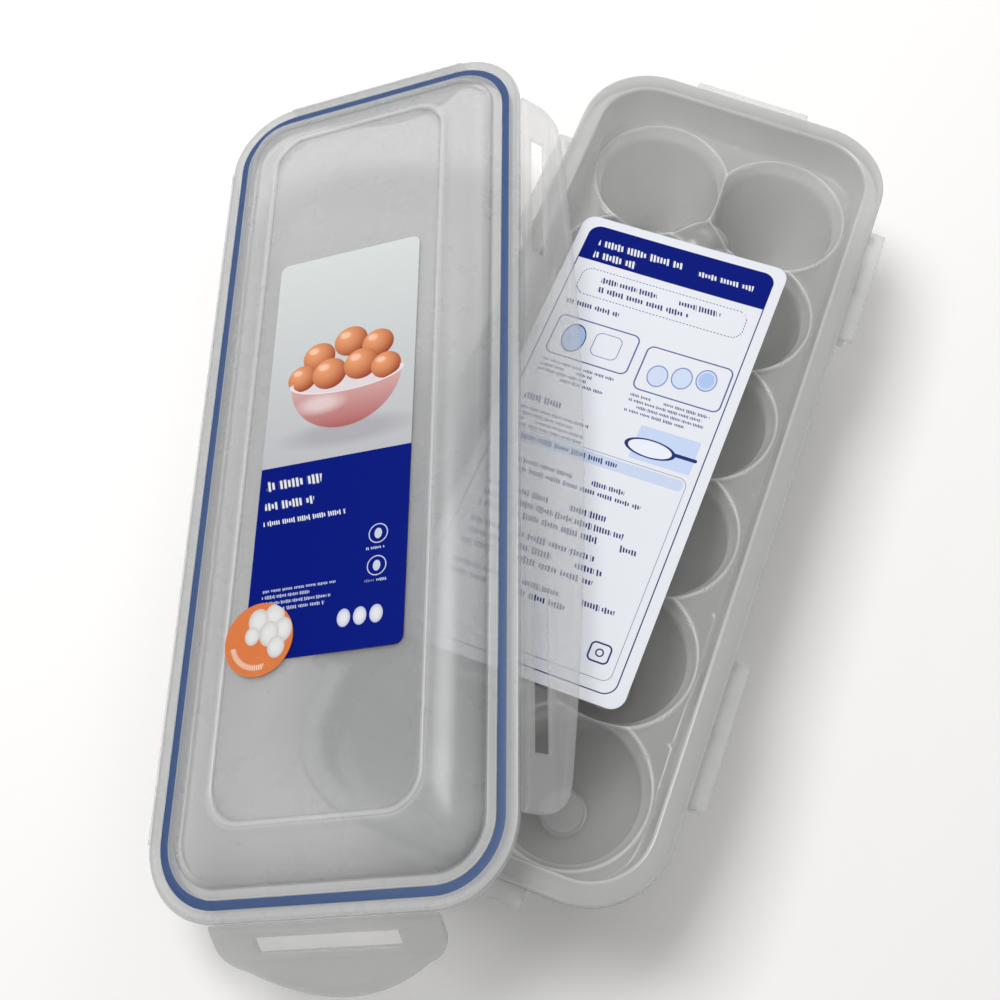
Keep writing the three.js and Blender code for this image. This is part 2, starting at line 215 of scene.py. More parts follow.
def put(name, points, quads, triangles, place, material, sharp=None, finish=None):
    """Makes a mesh object named name from welded arrays, placed in the row frame in metres. A
    piece whose volume comes out negative is turned, so that its faces point outwards. The points
    in the piece's own millimetres are kept as the attribute own, and what finish(points) gives
    for each point, a share of milkiness with painted highlight lines, of painted shade and of
    clearness, as a second point attribute."""
    quads = np.asarray(quads, int).reshape(-1, 4)
    triangles = np.asarray(triangles, int).reshape(-1, 3)
    points, quads, triangles = weld(np.asarray(points, float), quads, triangles)
    matrix = np.array(place)
    world = points @ matrix[:3, :3].T + matrix[:3, 3]
    facets = np.vstack([triangles, quads[:, :3], quads[:, [0, 2, 3]]])
    a, b, c = (points[facets[:, corner]] for corner in range(3))
    if (a * np.cross(b, c)).sum() < 0:
        quads, triangles = quads[:, ::-1], triangles[:, ::-1]
    mesh = bpy.data.meshes.new(name)
    mesh.from_pydata(world.tolist(), [], quads.tolist() + triangles.tolist())
    own = mesh.attributes.new("own", "FLOAT_VECTOR", "POINT")
    own.data.foreach_set("vector", points.astype(np.float32).ravel())
    if finish:
        haze_and_painted_light = mesh.attributes.new("haze_and_painted_light", "FLOAT_VECTOR", "POINT")
        haze_and_painted_light.data.foreach_set("vector", np.clip(finish(points), 0, 1).astype(np.float32).ravel())
    mesh.polygons.foreach_set("use_smooth", [True] * len(mesh.polygons))
    mesh.update()
    if sharp:
        mesh.set_sharp_from_angle(angle=math.radians(sharp))
    mesh.materials.append(material)
    obj = bpy.data.objects.new(name, mesh)
    bpy.context.scene.collection.objects.link(obj)
    return obj


def strip_quads(rows, columns, closed_rows=False, closed_columns=False):
    """Quads between the neighbours of a grid of rows by columns points, counted row by row."""
    r = np.arange(rows if closed_rows else rows - 1)
    c = np.arange(columns if closed_columns else columns - 1)
    r, c = (a.ravel() for a in np.meshgrid(r, c, indexing="ij"))
    r1, c1 = (r + 1) % rows, (c + 1) % columns
    here, ahead = r * columns, r1 * columns
    return np.stack([here + c, here + c1, ahead + c1, ahead + c], axis=1)


def fan(centre, ring, flip=False):
    """Triangles from a centre point to each side of a closed ring of points."""
    ahead = np.roll(ring, -1)
    middle = np.full(len(ring), centre)
    return np.stack([middle, ahead, ring] if flip else [middle, ring, ahead], axis=1)


def rounded_outline(half_width, half_length, radius, arc=14, across=8, along=24):
    """Points of a rounded rectangle, anticlockwise: its corners are arcs, and all go by even
    steps."""
    steps = np.linspace(0, np.pi / 2, arc + 1)
    parts = []
    for corner, (sx, sy) in enumerate(((1, 1), (-1, 1), (-1, -1), (1, -1))):
        angle = steps + corner * np.pi / 2
        bend = np.stack([
            sx * (half_width - radius) + radius * np.cos(angle),
            sy * (half_length - radius) + radius * np.sin(angle),
        ], axis=1)
        parts.append(bend)
        count = across if corner % 2 == 0 else along
        share = np.linspace(0, 1, count + 1)[1:-1, None]
        nx, ny = ((-1, 1), (-1, -1), (1, -1), (1, 1))[corner]
        angle = (corner + 1) * np.pi / 2
        start = np.array([
            nx * (half_width - radius) + radius * np.cos(angle),
            ny * (half_length - radius) + radius * np.sin(angle),
        ])
        parts.append(bend[-1] * (1 - share) + start * share)
    return np.vstack(parts)


def eased(corners, steps=4):
    """A profile whose corners are rounded: each corner (x, z, cut) is left cut mm before it and
    met again cut mm after it, by a parabola between. Corners with cut 0 stay sharp; the ends
    stay as they are."""
    path = []
    for i, (x, z, cut) in enumerate(corners):
        here = np.array([x, z], float)
        if cut <= 0 or i in (0, len(corners) - 1):
            path.append(here[None])
            continue
        before = np.array(corners[i - 1][:2], float) - here
        after = np.array(corners[i + 1][:2], float) - here
        a = here + before / np.linalg.norm(before) * min(cut, np.linalg.norm(before) / 2)
        b = here + after / np.linalg.norm(after) * min(cut, np.linalg.norm(after) / 2)
        t = np.linspace(0, 1, steps + 1)[:, None]
        path.append(a * (1 - t) ** 2 + here * 2 * t * (1 - t) + b * t ** 2)
    return np.vstack(path)


def carried(profile, half_width, half_length, radius, least):
    """A profile of (inset, z) carried round a rounded rectangle: each entry is the same outline
    drawn inset mm further in, its corner radius less by the inset but never under least. One row
    per entry."""
    rows = []
    for inset, z in profile:
        flat = rounded_outline(half_width - inset, half_length - inset, max(radius - inset, least))
        rows.append(np.column_stack([flat, np.full(len(flat), z)]))
    return np.stack(rows)


# Tray


def belly_height(r, foot, belly, floor, top):
    """Height of a quarter ellipse from (foot, floor) up to (belly, top), over the radius r."""
    start = math.sqrt(1 - (foot / belly) ** 2)
    share = (start - np.sqrt(np.clip(1 - (r / belly) ** 2, 0, 1))) / start
    return floor + (top - floor) * np.clip(share, 0, 1)


def eased_step(value):
    """0 below 0, 1 above 1, and a smooth cubic between."""
    t = np.clip(value, 0, 1)
    return t * t * (3 - 2 * t)


def near(distance, width):
    """1 at distance 0, falling off as a bell of the given half width."""
    return np.exp(-(distance / width) ** 2)


def blend_low(heights, reach):
    """Smooth least of several heights: minus reach times the log of the sum of exp(-height /
    reach)."""
    heights = np.stack(heights)
    low = heights.min(axis=0)
    return low - reach * np.log(np.exp(-(heights - low) / reach).sum(axis=0))


def blend_high(heights, reach):
    return -blend_low([-h for h in heights], reach)


CUP_CENTRES = np.array([
    ((column - (CUP_COLUMNS - 1) / 2) * CUP_PITCH, (row - (CUP_ROWS - 1) / 2) * CUP_PITCH)
    for row in range(CUP_ROWS)
    for column in range(CUP_COLUMNS)
])
HUMP_CENTRES = np.array([(0.0, (row - CUP_ROWS / 2) * CUP_PITCH) for row in range(1, CUP_ROWS)])
DECK = CREST_HEIGHT - DECK_DROP
WALL_FOOT = RIM_WIDTH + WALL_DRAFT
SLOPE = LIP_DEPTH / (MOUTH_RADIUS - BELLY_RADIUS)


def distances(x, y, centres):
    return np.hypot(x[None] - centres[:, 0, None], y[None] - centres[:, 1, None])


def depth_inside(x, y, half_width, half_length, radius):
    """How far points lie inside the outline of a rounded rectangle: its corner radius less the
    distance from the inner rectangle of corner centres."""
    qx = np.abs(x) - (half_width - radius)
    qy = np.abs(y) - (half_length - radius)
    beyond = np.hypot(np.maximum(qx, 0), np.maximum(qy, 0))
    return radius - (beyond + np.minimum(np.maximum(qx, qy), 0))


def wall_distance(x, y, inset):
    """How far points lie inside the rounded rectangle drawn inset mm inside the rim."""
    return depth_inside(x, y, RIM_HALF_WIDTH, RIM_HALF_LENGTH, RIM_CORNER) - inset


def top_height(x, y):
    """Height of the tray's upper face: the smooth least of the deck with its raised lips and of
    every cup's bowl, then the greater of that and the humps. A bowl is a flat floor with a
    raised disc and a fine ring round it, a quarter ellipse up to the belly, and a straight flare
    beyond it. The deck curves up into the wall."""
    r = distances(x, y, CUP_CENTRES)
    bowl = belly_height(r, FOOT_RADIUS, BELLY_RADIUS, WALL, CREST_HEIGHT - LIP_DEPTH)
    bowl = bowl + DISC_RISE * (1 - eased_step((r - DISC_RADIUS + DISC_EASE / 2) / DISC_EASE))
    bowl = bowl + RING_HEIGHT * near(r - DISC_RADIUS - RING_GAP, RING_WIDTH)
    bowl = bowl + np.maximum(r - BELLY_RADIUS, 0) * SLOPE
    lip = DECK_DROP * (1 - eased_step((r - MOUTH_RADIUS - LIP_TOP) / LIP_WIDTH)).max(axis=0)
    edge = np.clip(1 - wall_distance(x, y, WALL_FOOT) / FOOT_ROUND, 0, 1)
    deck = DECK + blend_high([lip, FOOT_ROUND * (1 - np.sqrt(1 - edge ** 2))], LIP_BLEND)
    height = blend_low([deck, *bowl], SADDLE_BLEND)
    rho = distances(x, y, HUMP_CENTRES).min(axis=0)
    base = CREST_HEIGHT - HUMP_DEPTH
    dome = base + (HUMP_DEPTH + HUMP_HEIGHT) * np.sqrt(np.clip(1 - (rho / HUMP_RADIUS) ** 2, 0, 1))
    on_hump = (rho < HUMP_RADIUS) & (r.min(axis=0) > BELLY_RADIUS - HUMP_OVERHANG)
    return np.where(on_hump, blend_high([height, dome], HUMP_BLEND), height)


def under_height(x, y):
    """Height of the tray's lower face: the least of every cup's outside and of the deck's
    underside, which is raised under the humps."""
    r = distances(x, y, CUP_CENTRES)
    belly = BELLY_RADIUS + WALL
    bowl = belly_height(r, FOOT_RADIUS + WALL, belly, 0, CREST_HEIGHT - LIP_DEPTH)
    bowl = bowl + np.maximum(r - belly, 0) * SLOPE
    rho = distances(x, y, HUMP_CENTRES).min(axis=0)
    radius = HUMP_RADIUS - WALL
    base = CREST_HEIGHT - HUMP_DEPTH
    rise = HUMP_DEPTH + HUMP_HEIGHT - WALL
    dome = base + rise * np.sqrt(np.clip(1 - (rho / radius) ** 2, 0, 1))
    ceiling = np.where(rho < radius, np.maximum(DECK - WALL, dome), DECK - WALL)
    edge = np.clip(1 - wall_distance(x, y, WALL_FOOT - WALL) / FOOT_ROUND, 0, 1)
    ceiling = ceiling + FOOT_ROUND * (1 - np.sqrt(1 - edge ** 2))
    return blend_low([ceiling, *bowl], SADDLE_BLEND)


def cell_border(at_end, inset, row_steps=30, mid_steps=28, out_steps=28, end_steps=54):
    """Border of a cup's cell, anticlockwise round the cup, for the right-hand column and, at the
    end, for the far row: first the part along the wall's foot, then the part shared with other
    cells. Returns the points and how many steps the first part has."""
    half = CUP_PITCH / 2
    reach_x = RIM_HALF_WIDTH - inset - half
    reach_y = RIM_HALF_LENGTH - inset - (CUP_ROWS - 1) * half

    def line(a, b, steps):
        share = np.linspace(0, 1, steps, endpoint=False)[:, None]
        return np.array(a) * (1 - share) + np.array(b) * share

    if not at_end:
        return np.vstack([
            line((reach_x, -half), (reach_x, half), out_steps),
            line((reach_x, half), (-half, half), row_steps),
            line((-half, half), (-half, -half), mid_steps),
            line((-half, -half), (reach_x, -half), row_steps),
        ]), out_steps
    radius = RIM_CORNER - inset
    straight_y = half + reach_y - radius
    straight_x = half + reach_x - radius
    arc = radius * np.pi / 2
    s = np.linspace(0, straight_y + arc + straight_x, end_steps, endpoint=False)
    angle = np.clip((s - straight_y) / radius, 0, np.pi / 2)
    outer = np.stack([
        reach_x - radius + radius * np.cos(angle) - np.maximum(s - straight_y - arc, 0),
        np.minimum(s, straight_y) - half + radius * np.sin(angle),
    ], axis=1)
    return np.vstack([
        outer,
        line((-half, reach_y), (-half, -half), row_steps),
        line((-half, -half), (reach_x, -half), row_steps),
    ]), end_steps


def cell_rings(border, inner, rim_steps):
    """Points of a cell as rings round its cup: the inner rings are circles, and the others go by
    even steps from the belly out to the cell's border."""
    reach = np.hypot(border[:, 0], border[:, 1])
    way = border / reach[:, None]
    circles = np.array(inner)[:, None, None] * way[None]
    share = np.linspace(0, 1, rim_steps + 1)[1:, None]
    radii = BELLY_RADIUS + (reach[None] - BELLY_RADIUS) * share
    return np.concatenate([circles, radii[:, :, None] * way[None]])


def tray_skin(height, inset, inner, rim_steps, upward):
    """One face of the tray: rings round each cup up to its cell's border, mirrored for the left
    column and for the near row. Returns the points, the quads, the triangles at the cups'
    middles, and the border along the wall's foot as one anticlockwise loop."""
    points, quads, triangles, walls = [], [], [], {}
    count = 0
    for row in range(CUP_ROWS):
        border, outer = cell_border(row in (0, CUP_ROWS - 1), inset)
        rings = cell_rings(border, inner, rim_steps)
        y_side = -1 if row == 0 else 1
        y_centre = (row - (CUP_ROWS - 1) / 2) * CUP_PITCH
        for x_side in (1, -1):
            x = (rings[..., 0] + CUP_PITCH / 2) * x_side
            y = rings[..., 1] * y_side + y_centre
            z = height(x.ravel(), y.ravel()).reshape(x.shape)
            block = np.stack([x, y, z], axis=-1)
            n_rings, n_round = x.shape
            grid = strip_quads(n_rings, n_round, closed_columns=True) + count
            middle = count + n_rings * n_round
            tip = fan(middle, np.arange(n_round) + count)
            straight = x_side * y_side > 0
            quads.append(grid[:, ::-1] if upward == straight else grid)
            triangles.append(tip if upward == straight else tip[:, ::-1])
            points += [block.reshape(-1, 3), [[x_side * CUP_PITCH / 2, y_centre, z[0].mean()]]]
            edge = block[-1, :outer + 1]
            walls[row, x_side] = edge if straight else edge[::-1]
            count = middle + 1
    loop = [walls[row, 1] for row in range(CUP_ROWS)]
    loop += [walls[row, -1] for row in reversed(range(CUP_ROWS))]
    return np.vstack(points), np.vstack(quads), np.vstack(triangles), np.vstack(loop)


def tray_haze_and_painted_light(points):
    """Milky where the moulding is thick, with painted highlight lines there: the cups' crests and
    saddles, the discs' and the rim's edges, and a little in the bowls. Painted shade: thin dark
    lines just beside them, and a darker deck for the shadow that shows under it. Clear nowhere."""
    x, y, z = points.T
    r = np.sort(distances(x, y, CUP_CENTRES), axis=0)
    rise = eased_step((z - 38.5) / 1.5)
    crest = near(r[0] - MOUTH_RADIUS - 0.5, 0.5) * near(np.minimum(z - CREST_HEIGHT, 0), 1.2)
    saddle = near((r[1] - r[0]) / 2, 0.6) * (r[0] < MOUTH_RADIUS + 0.5)
    disc = near(r[0] - DISC_RADIUS - 0.2, 0.5) * (z < 4) * (z > 1)
    inside_rim = wall_distance(x, y, 0)
    top = eased_step((z - RIM_HEIGHT + 2.2) / 1.2)
    edges = near(inside_rim - 0.4, 0.7) + near(inside_rim - RIM_WIDTH + 0.4, 0.7)
    deck = eased_step((r[0] - MOUTH_RADIUS - 1) / 1.5)
    deck = deck * eased_step((inside_rim - WALL_FOOT + 1) / 2)
    bowl = (1 - eased_step((r[0] - BELLY_RADIUS) / 2.5)) * 0.45
    # Milky haze, with painted highlight lines along the crests, saddles, discs and rim edges.
    milk_and_highlight = np.maximum.reduce([
        crest * 0.85, saddle * rise * 0.85, disc * 0.8, edges * top * 0.5, bowl,
    ])
    # Painted shade: thin dark lines beside the rim, the wall's foot and the discs, and a darker
    # deck.
    painted_shade = np.maximum.reduce([
        near(inside_rim - RIM_WIDTH - 0.5, 0.35) * top * 0.5,
        near(inside_rim - WALL_FOOT - 0.9, 0.35) * (z > DECK - 0.5) * (z < DECK + 1) * 0.5,
        near(r[0] - DISC_RADIUS - 1.3, 0.35) * (z < 4) * (z > 1) * 0.5,
        deck * (z > DECK - 2.5) * 0.36,
    ])
    return np.stack([milk_and_highlight, painted_shade, np.zeros_like(milk_and_highlight)], axis=1)


def outline_core(points):
    """Nearest point of the rim's inner rectangle of corner centres, and the way out from it."""
    core = np.clip(points[:, :2], (-(RIM_HALF_WIDTH - RIM_CORNER), -(RIM_HALF_LENGTH - RIM_CORNER)),
                   (RIM_HALF_WIDTH - RIM_CORNER, RIM_HALF_LENGTH - RIM_CORNER))
    out = points[:, :2] - core
    return core, out / np.linalg.norm(out, axis=1)[:, None]


def make_tray(material):
    """The tray's two faces joined by its wall: the wall's rows are the foot's border pushed out
    along the outline's normals, through the rim's rounded profile and back to the border of the
    lower face."""
    start = math.asin(FOOT_RADIUS / BELLY_RADIUS)
    belly = BELLY_RADIUS * np.sin(np.linspace(start, math.pi / 2, 17))
    disc = DISC_RADIUS + np.array([-0.5, -0.3, 0.0, 0.3, 0.6, 0.85, 1.1])
    inner = np.concatenate([[3.0], disc, belly[1:]])
    belly_out = BELLY_RADIUS * np.sin(np.linspace(start, math.pi / 2, 10))
    inner_out = np.concatenate([[5.0], belly_out])
    top, quads, tips, top_edge = tray_skin(top_height, WALL_FOOT, inner, 15, True)
    low, low_quads, low_tips, low_edge = tray_skin(
        under_height, WALL_FOOT - WALL, inner_out, 8, False,
    )
    profile = eased([
        (WALL_FOOT, DECK + FOOT_ROUND, 0),
        (RIM_WIDTH, RIM_HEIGHT, 1.3),
        (0, RIM_HEIGHT, 1.1),
        (0, RIM_HEIGHT - SKIRT_DEPTH, 0.4),
        (WALL, RIM_HEIGHT - SKIRT_DEPTH, 0.4),
        (WALL, RIM_HEIGHT - RIM_THICKNESS, 0.8),
        (RIM_WIDTH - WALL, RIM_HEIGHT - RIM_THICKNESS, 1.2),
        (WALL_FOOT - WALL, DECK - WALL + FOOT_ROUND, 0),
    ], 5)[1:-1]
    core, out = outline_core(top_edge)
    rows = [top_edge]
    for inset, z in profile:
        rows.append(np.column_stack([core + out * (RIM_CORNER - inset), np.full(len(core), z)]))
    rows.append(low_edge)
    wall = np.vstack(rows)
    wall_quads = strip_quads(len(rows), len(top_edge), closed_columns=True)[:, ::-1]
    n_top, n_low = len(top), len(low)
    return put(
        "tray_moulding",
        np.vstack([top, low, wall]),
        np.vstack([quads, low_quads + n_top, wall_quads + n_top + n_low]),
        np.vstack([tips, low_tips + n_top]),
        TRAY_PLACE,
        material,
        finish=tray_haze_and_painted_light,
    )


def make_bar(name, length, nearest, farthest, low, high, ease, place, material):
    """A bar with eased edges: a rounded section of across and z, carried along x and drawn in at
    both ends by the quarter circle that rounds them."""
    end = ease * (1 - np.cos(np.linspace(0, np.pi / 2, 5)))
    x = np.concatenate([end - length / 2, length / 2 - end[::-1]])
    draw = ease - np.sqrt(np.maximum(ease ** 2 - (ease - end) ** 2, 0))
    draw = np.concatenate([draw, draw[::-1]])
    middle = ((nearest + farthest) / 2, (low + high) / 2)
    rows = []
    for along, inset in zip(x, draw):
        flat = rounded_outline(
            (farthest - nearest) / 2 - inset, (high - low) / 2 - inset,
            max(ease - inset, 0.05), arc=4, across=2, along=2,
        )
        rows.append(np.column_stack([np.full(len(flat), along), flat + middle]))
    return lofted(name, np.stack(rows), place, material)


def lofted(name, rows, place, material, sharp=None, finish=None):
    """Rows of points joined into a closed skin, with a fan over the first row and over the last."""
    n_rows, n_round = rows.shape[:2]
    points = rows.reshape(-1, 3)
    ends = np.stack([rows[0].mean(axis=0), rows[-1].mean(axis=0)])
    first = fan(len(points), np.arange(n_round), flip=True)
    last = fan(len(points) + 1, np.arange(n_round) + (n_rows - 1) * n_round)
    quads = strip_quads(n_rows, n_round, closed_columns=True)
    triangles = np.vstack([first, last])
    return put(name, np.vstack([points, ends]), quads, triangles, place, material, sharp, finish)


def make_lugs(material):
    """Six lugs under the rim, each a bar with three gussets below it."""
    pieces = []
    high = RIM_HEIGHT - LUG_DROP
    low = high - LUG_THICKNESS
    spots = [
        (f"{side}_{end}", turn, RIM_HALF_WIDTH, along, SIDE_LUG_LENGTH)
        for side, turn in (("right", -90), ("left", 90))
        for end, along in (("near", SIDE_LUG_CENTRE), ("far", -SIDE_LUG_CENTRE))
    ]
    spots += [
        (end, turn, RIM_HALF_LENGTH, 0, END_LUG_LENGTH)
        for end, turn in (("near", 180), ("far", 0))
    ]
    for label, turn, edge, along, length in spots:
        place = TRAY_PLACE @ Matrix.Rotation(math.radians(turn), 4, "Z")
        pieces.append(make_bar(
            f"lug_{label}", length, edge - LUG_ROOT, edge + LUG_REACH, low, high, LUG_EASE,
            place @ shifted(along, 0, 0), material,
        ))
        step = (length - GUSSET_WIDTH) / 2
        for number in (-1, 0, 1):
            pieces.append(make_bar(
                f"lug_{label}_rib_{number + 2}", GUSSET_WIDTH,
                edge - LUG_ROOT, edge + LUG_REACH / 2,
                low - GUSSET_DEPTH, low + GUSSET_ROOT, GUSSET_EASE,
                place @ shifted(along + number * step, 0, 0), material,
            ))
    return pieces


# Lid


PANEL_INSET = DOME_FOOT + DOME_SHOULDER
FLANGE_HALF_WIDTH = SEAL_HALF_WIDTH + FLANGE_MARGIN
FLANGE_HALF_LENGTH = SEAL_HALF_LENGTH + FLANGE_MARGIN
PANEL_TOP = DOME_RISE - PANEL_SINK


def shoulder(foot, panel, rise, base, steps, first=0.0):
    """A quarter ellipse from the foot up to the panel, over even steps of its angle."""
    angle = np.linspace(first, math.pi / 2, steps)
    inset = foot + (panel - foot) * (1 - np.cos(angle))
    return np.column_stack([inset, base + rise * np.sin(angle)])


def carried_on_flange(profile):
    return carried(profile, FLANGE_HALF_WIDTH, FLANGE_HALF_LENGTH, FLANGE_CORNER, PANEL_CORNER)


def lid_haze_and_painted_light(points):
    """Milky along the bead, with a painted highlight line there, on the flange and beside the seal;
    painted shade as thin dark lines at the bead, the dome's foot and the flange's edge; clear
    over the seal: a window in the upper face and the groove's ceiling."""
    x, y, z = points.T
    inset = depth_inside(x, y, FLANGE_HALF_WIDTH, FLANGE_HALF_LENGTH, FLANGE_CORNER)
    in_panel = depth_inside(
        x, y, FLANGE_HALF_WIDTH - PANEL_INSET, FLANGE_HALF_LENGTH - PANEL_INSET, PANEL_CORNER
    )
    upper = z > DOME_RISE - 2.5
    face = (z > -0.2) * (z < 0.8)
    beside = np.abs(inset - FLANGE_MARGIN) - SEAL_WIDTH / 2
    strip = face * (inset < DOME_FOOT - 0.5)
    # Milky haze, with a painted highlight line along the bead.
    milk_and_highlight = np.maximum.reduce([
        near(in_panel - BEAD_WIDTH * 0.3, 1.2) * upper * 0.55,
        near(beside - 0.4, 0.25) * face * 0.8,
        strip * 0.45,
    ])
    # Painted shade: thin dark lines at the bead, the dome's foot and the flange's edge.
    painted_shade = np.maximum.reduce([
        near(in_panel - BEAD_WIDTH - 0.2, 0.4) * upper * 0.8,
        near(in_panel + 0.9, 0.5) * upper * 0.35,
        near(inset - DOME_FOOT - 0.2, 0.4) * (z < 2) * (z > -1) * 0.8,
        near(inset - 0.9, 0.35) * face * 0.7,
    ])
    window = (beside < 0.05) & (z > -0.15) & (z < 0.8)
    ceiling = (beside < SEAL_CLEARANCE + 0.1) & (z < -0.15) & (z > -SEAL_SKIN - 0.6)
    clear = window | ceiling
    return np.stack([milk_and_highlight * ~clear, painted_shade * ~clear, clear], axis=1)


def make_lid(material):
    """The lid in one closed skin: its panel, a half-round bead, the shoulder, the flange with
    its rounded edge, the two ribs and the groove that hold the seal, and the inside of the
    shoulder and the panel. The flange's rows of points lie close together beside the seal, where
    the skin turns clear."""
    seal_in, seal_out = FLANGE_MARGIN + SEAL_WIDTH / 2, FLANGE_MARGIN - SEAL_WIDTH / 2
    rib_in, rib_out = seal_in + SEAL_CLEARANCE, seal_out - SEAL_CLEARANCE
    under = -FLANGE_THICKNESS
    turn = np.linspace(0, math.pi, 9)
    middle = PANEL_INSET + BEAD_WIDTH / 2
    bead = np.column_stack([
        middle + BEAD_WIDTH / 2 * np.cos(turn),
        PANEL_TOP + (DOME_RISE - PANEL_TOP) * turn / math.pi + BEAD_HEIGHT * np.sin(turn),
    ])
    panel = np.array([(PANEL_INSET + BEAD_WIDTH + further, PANEL_TOP) for further in (14, 1.2)])
    outside = shoulder(DOME_FOOT, PANEL_INSET, DOME_RISE, 0, 22, first=0.16)[::-1]
    foot = outside[-1]
    beside_seal = (0, 0.1, 0.2, 0.4, 0.6, 0.8, 1.3)
    flange = eased([
        (foot[0], foot[1], 0),
        (DOME_FOOT - 0.1, 0, 1.3),
        *((seal_in + beside, 0, 0) for beside in (2.2, *beside_seal[::-1])),
        *((seal_out - beside, 0, 0) for beside in (*beside_seal, 2.0)),
        (0, 0, 0.8),
        (0, under, 0.4),
        (rib_out - RIB_THICKNESS, under, 0.2),
        (rib_out - RIB_THICKNESS, under - RIB_DEPTH, 0.3),
        (rib_out, under - RIB_DEPTH, 0.3),
        (rib_out, -SEAL_SKIN, 0.1),
        (rib_in, -SEAL_SKIN, 0.1),
        (rib_in, under - RIB_DEPTH, 0.3),
        (rib_in + RIB_THICKNESS, under - RIB_DEPTH, 0.3),
        (rib_in + RIB_THICKNESS, under, 0.2),
        (DOME_FOOT + DOME_WALL, under, 0),
    ], 4)[1:]
    ceiling = PANEL_TOP - DOME_WALL
    inside = shoulder(DOME_FOOT + DOME_WALL, PANEL_INSET + DOME_WALL, ceiling - under, under, 18)
    last = np.array([(PANEL_INSET + DOME_WALL + 2, ceiling), (PANEL_INSET + 16, ceiling)])
    profile = np.vstack([panel, bead, outside[1:], flange, inside[1:], last])
    return lofted("lid_moulding", carried_on_flange(profile), LID_PLACE, material, 50, lid_haze_and_painted_light)


def make_seal(material):
    """The seal: an eased section with two toes along its lower side and a shallow notch between
    them, carried round its line."""
    top = -SEAL_SKIN - SEAL_BED
    low = -FLANGE_THICKNESS - SEAL_HEIGHT - SEAL_SQUEEZE
    toe, heel, notch = 0.7, 0.6, 0.5
    inner, outer = FLANGE_MARGIN + SEAL_WIDTH / 2, FLANGE_MARGIN - SEAL_WIDTH / 2
    profile = eased([
        (inner, (top + low) / 2, 0),
        (inner, top, 0.15),
        (outer, top, 0.15),
        (outer, low + heel, 0.5),
        (outer + toe, low, 0.3),
        (FLANGE_MARGIN, low + notch, 0.4),
        (inner - toe, low, 0.3),
        (inner, low + heel, 0.5),
        (inner, (top + low) / 2 - 0.05, 0),
    ], 4)
    rows = carried_on_flange(profile)
    quads = strip_quads(*rows.shape[:2], closed_rows=True, closed_columns=True)
    return put("seal_band", rows.reshape(-1, 3), quads, np.zeros((0, 3), int), LID_PLACE, material)


def free_edge(along, flap):
    """Distance of a flap's free edge from its root: a parabola in the middle, and at each corner
    the parabola that brings it down to the short end."""
    length, width, corner, bow, _ = flap
    half = length / 2
    edge = width - bow
    bend = edge + bow * corner / half
    t = (along / (half - corner) + 1) / 2
    middle = bend * ((1 - t) ** 2 + t ** 2) + 2 * t * (1 - t) * (2 * width - bend)
    u = 1 - np.sqrt(np.clip((half - np.abs(along)) / corner, 0, 1))
    end = (1 - u) ** 2 * bend + 2 * u * (1 - u) * edge + u ** 2 * (edge - corner)
    return np.where(np.abs(along) > half - corner, end, middle)


def steps_between(breaks, step):
    """Even steps of about the given size between each pair of neighbouring breaks."""
    parts = []
    for low, high in zip(breaks[:-1], breaks[1:]):
        count = max(1, int(round((high - low) / step)))
        parts.append(np.linspace(low, high, count, endpoint=False))
    return np.concatenate([*parts, [breaks[-1]]])


def make_plate(name, x, y, top, low, present, place, material, ease=0.25, sharp=None):
    """A plate from a grid: its upper and lower faces where a cell is present, and a wall wherever a
    present cell meets an absent one or the border."""
    n, m = x.shape
    points = np.vstack([
        np.stack([x, y, top], axis=-1).reshape(-1, 3),
        np.stack([x, y, low], axis=-1).reshape(-1, 3),
    ])
    index = np.arange(n * m).reshape(n, m)
    a, b, c, d = index[:-1, :-1], index[1:, :-1], index[1:, 1:], index[:-1, 1:]
    upper = np.stack([a, b, c, d], axis=-1)[present]
    quads = [upper, upper[:, ::-1] + n * m]
    padded = np.pad(present, 1)
    sides = (((a, b), (0, -1)), ((b, c), (1, 0)), ((c, d), (0, 1)), ((d, a), (-1, 0)))
    for (p, q), (di, dj) in sides:
        neighbour = padded[1 + di:padded.shape[0] - 1 + di, 1 + dj:padded.shape[1] - 1 + dj]
        open_side = present & ~neighbour
        p, q = p[open_side], q[open_side]
        quads.append(np.stack([q, p, p + n * m, q + n * m], axis=-1))
    obj = put(name, points, np.vstack(quads), np.zeros((0, 3), int), place, material, sharp)
    if ease:
        bevel = obj.modifiers.new("eased_edges", "BEVEL")
        bevel.width = ease * MM
        bevel.segments = 2
        bevel.limit_method = "ANGLE"
        bevel.angle_limit = math.radians(50)
    return obj


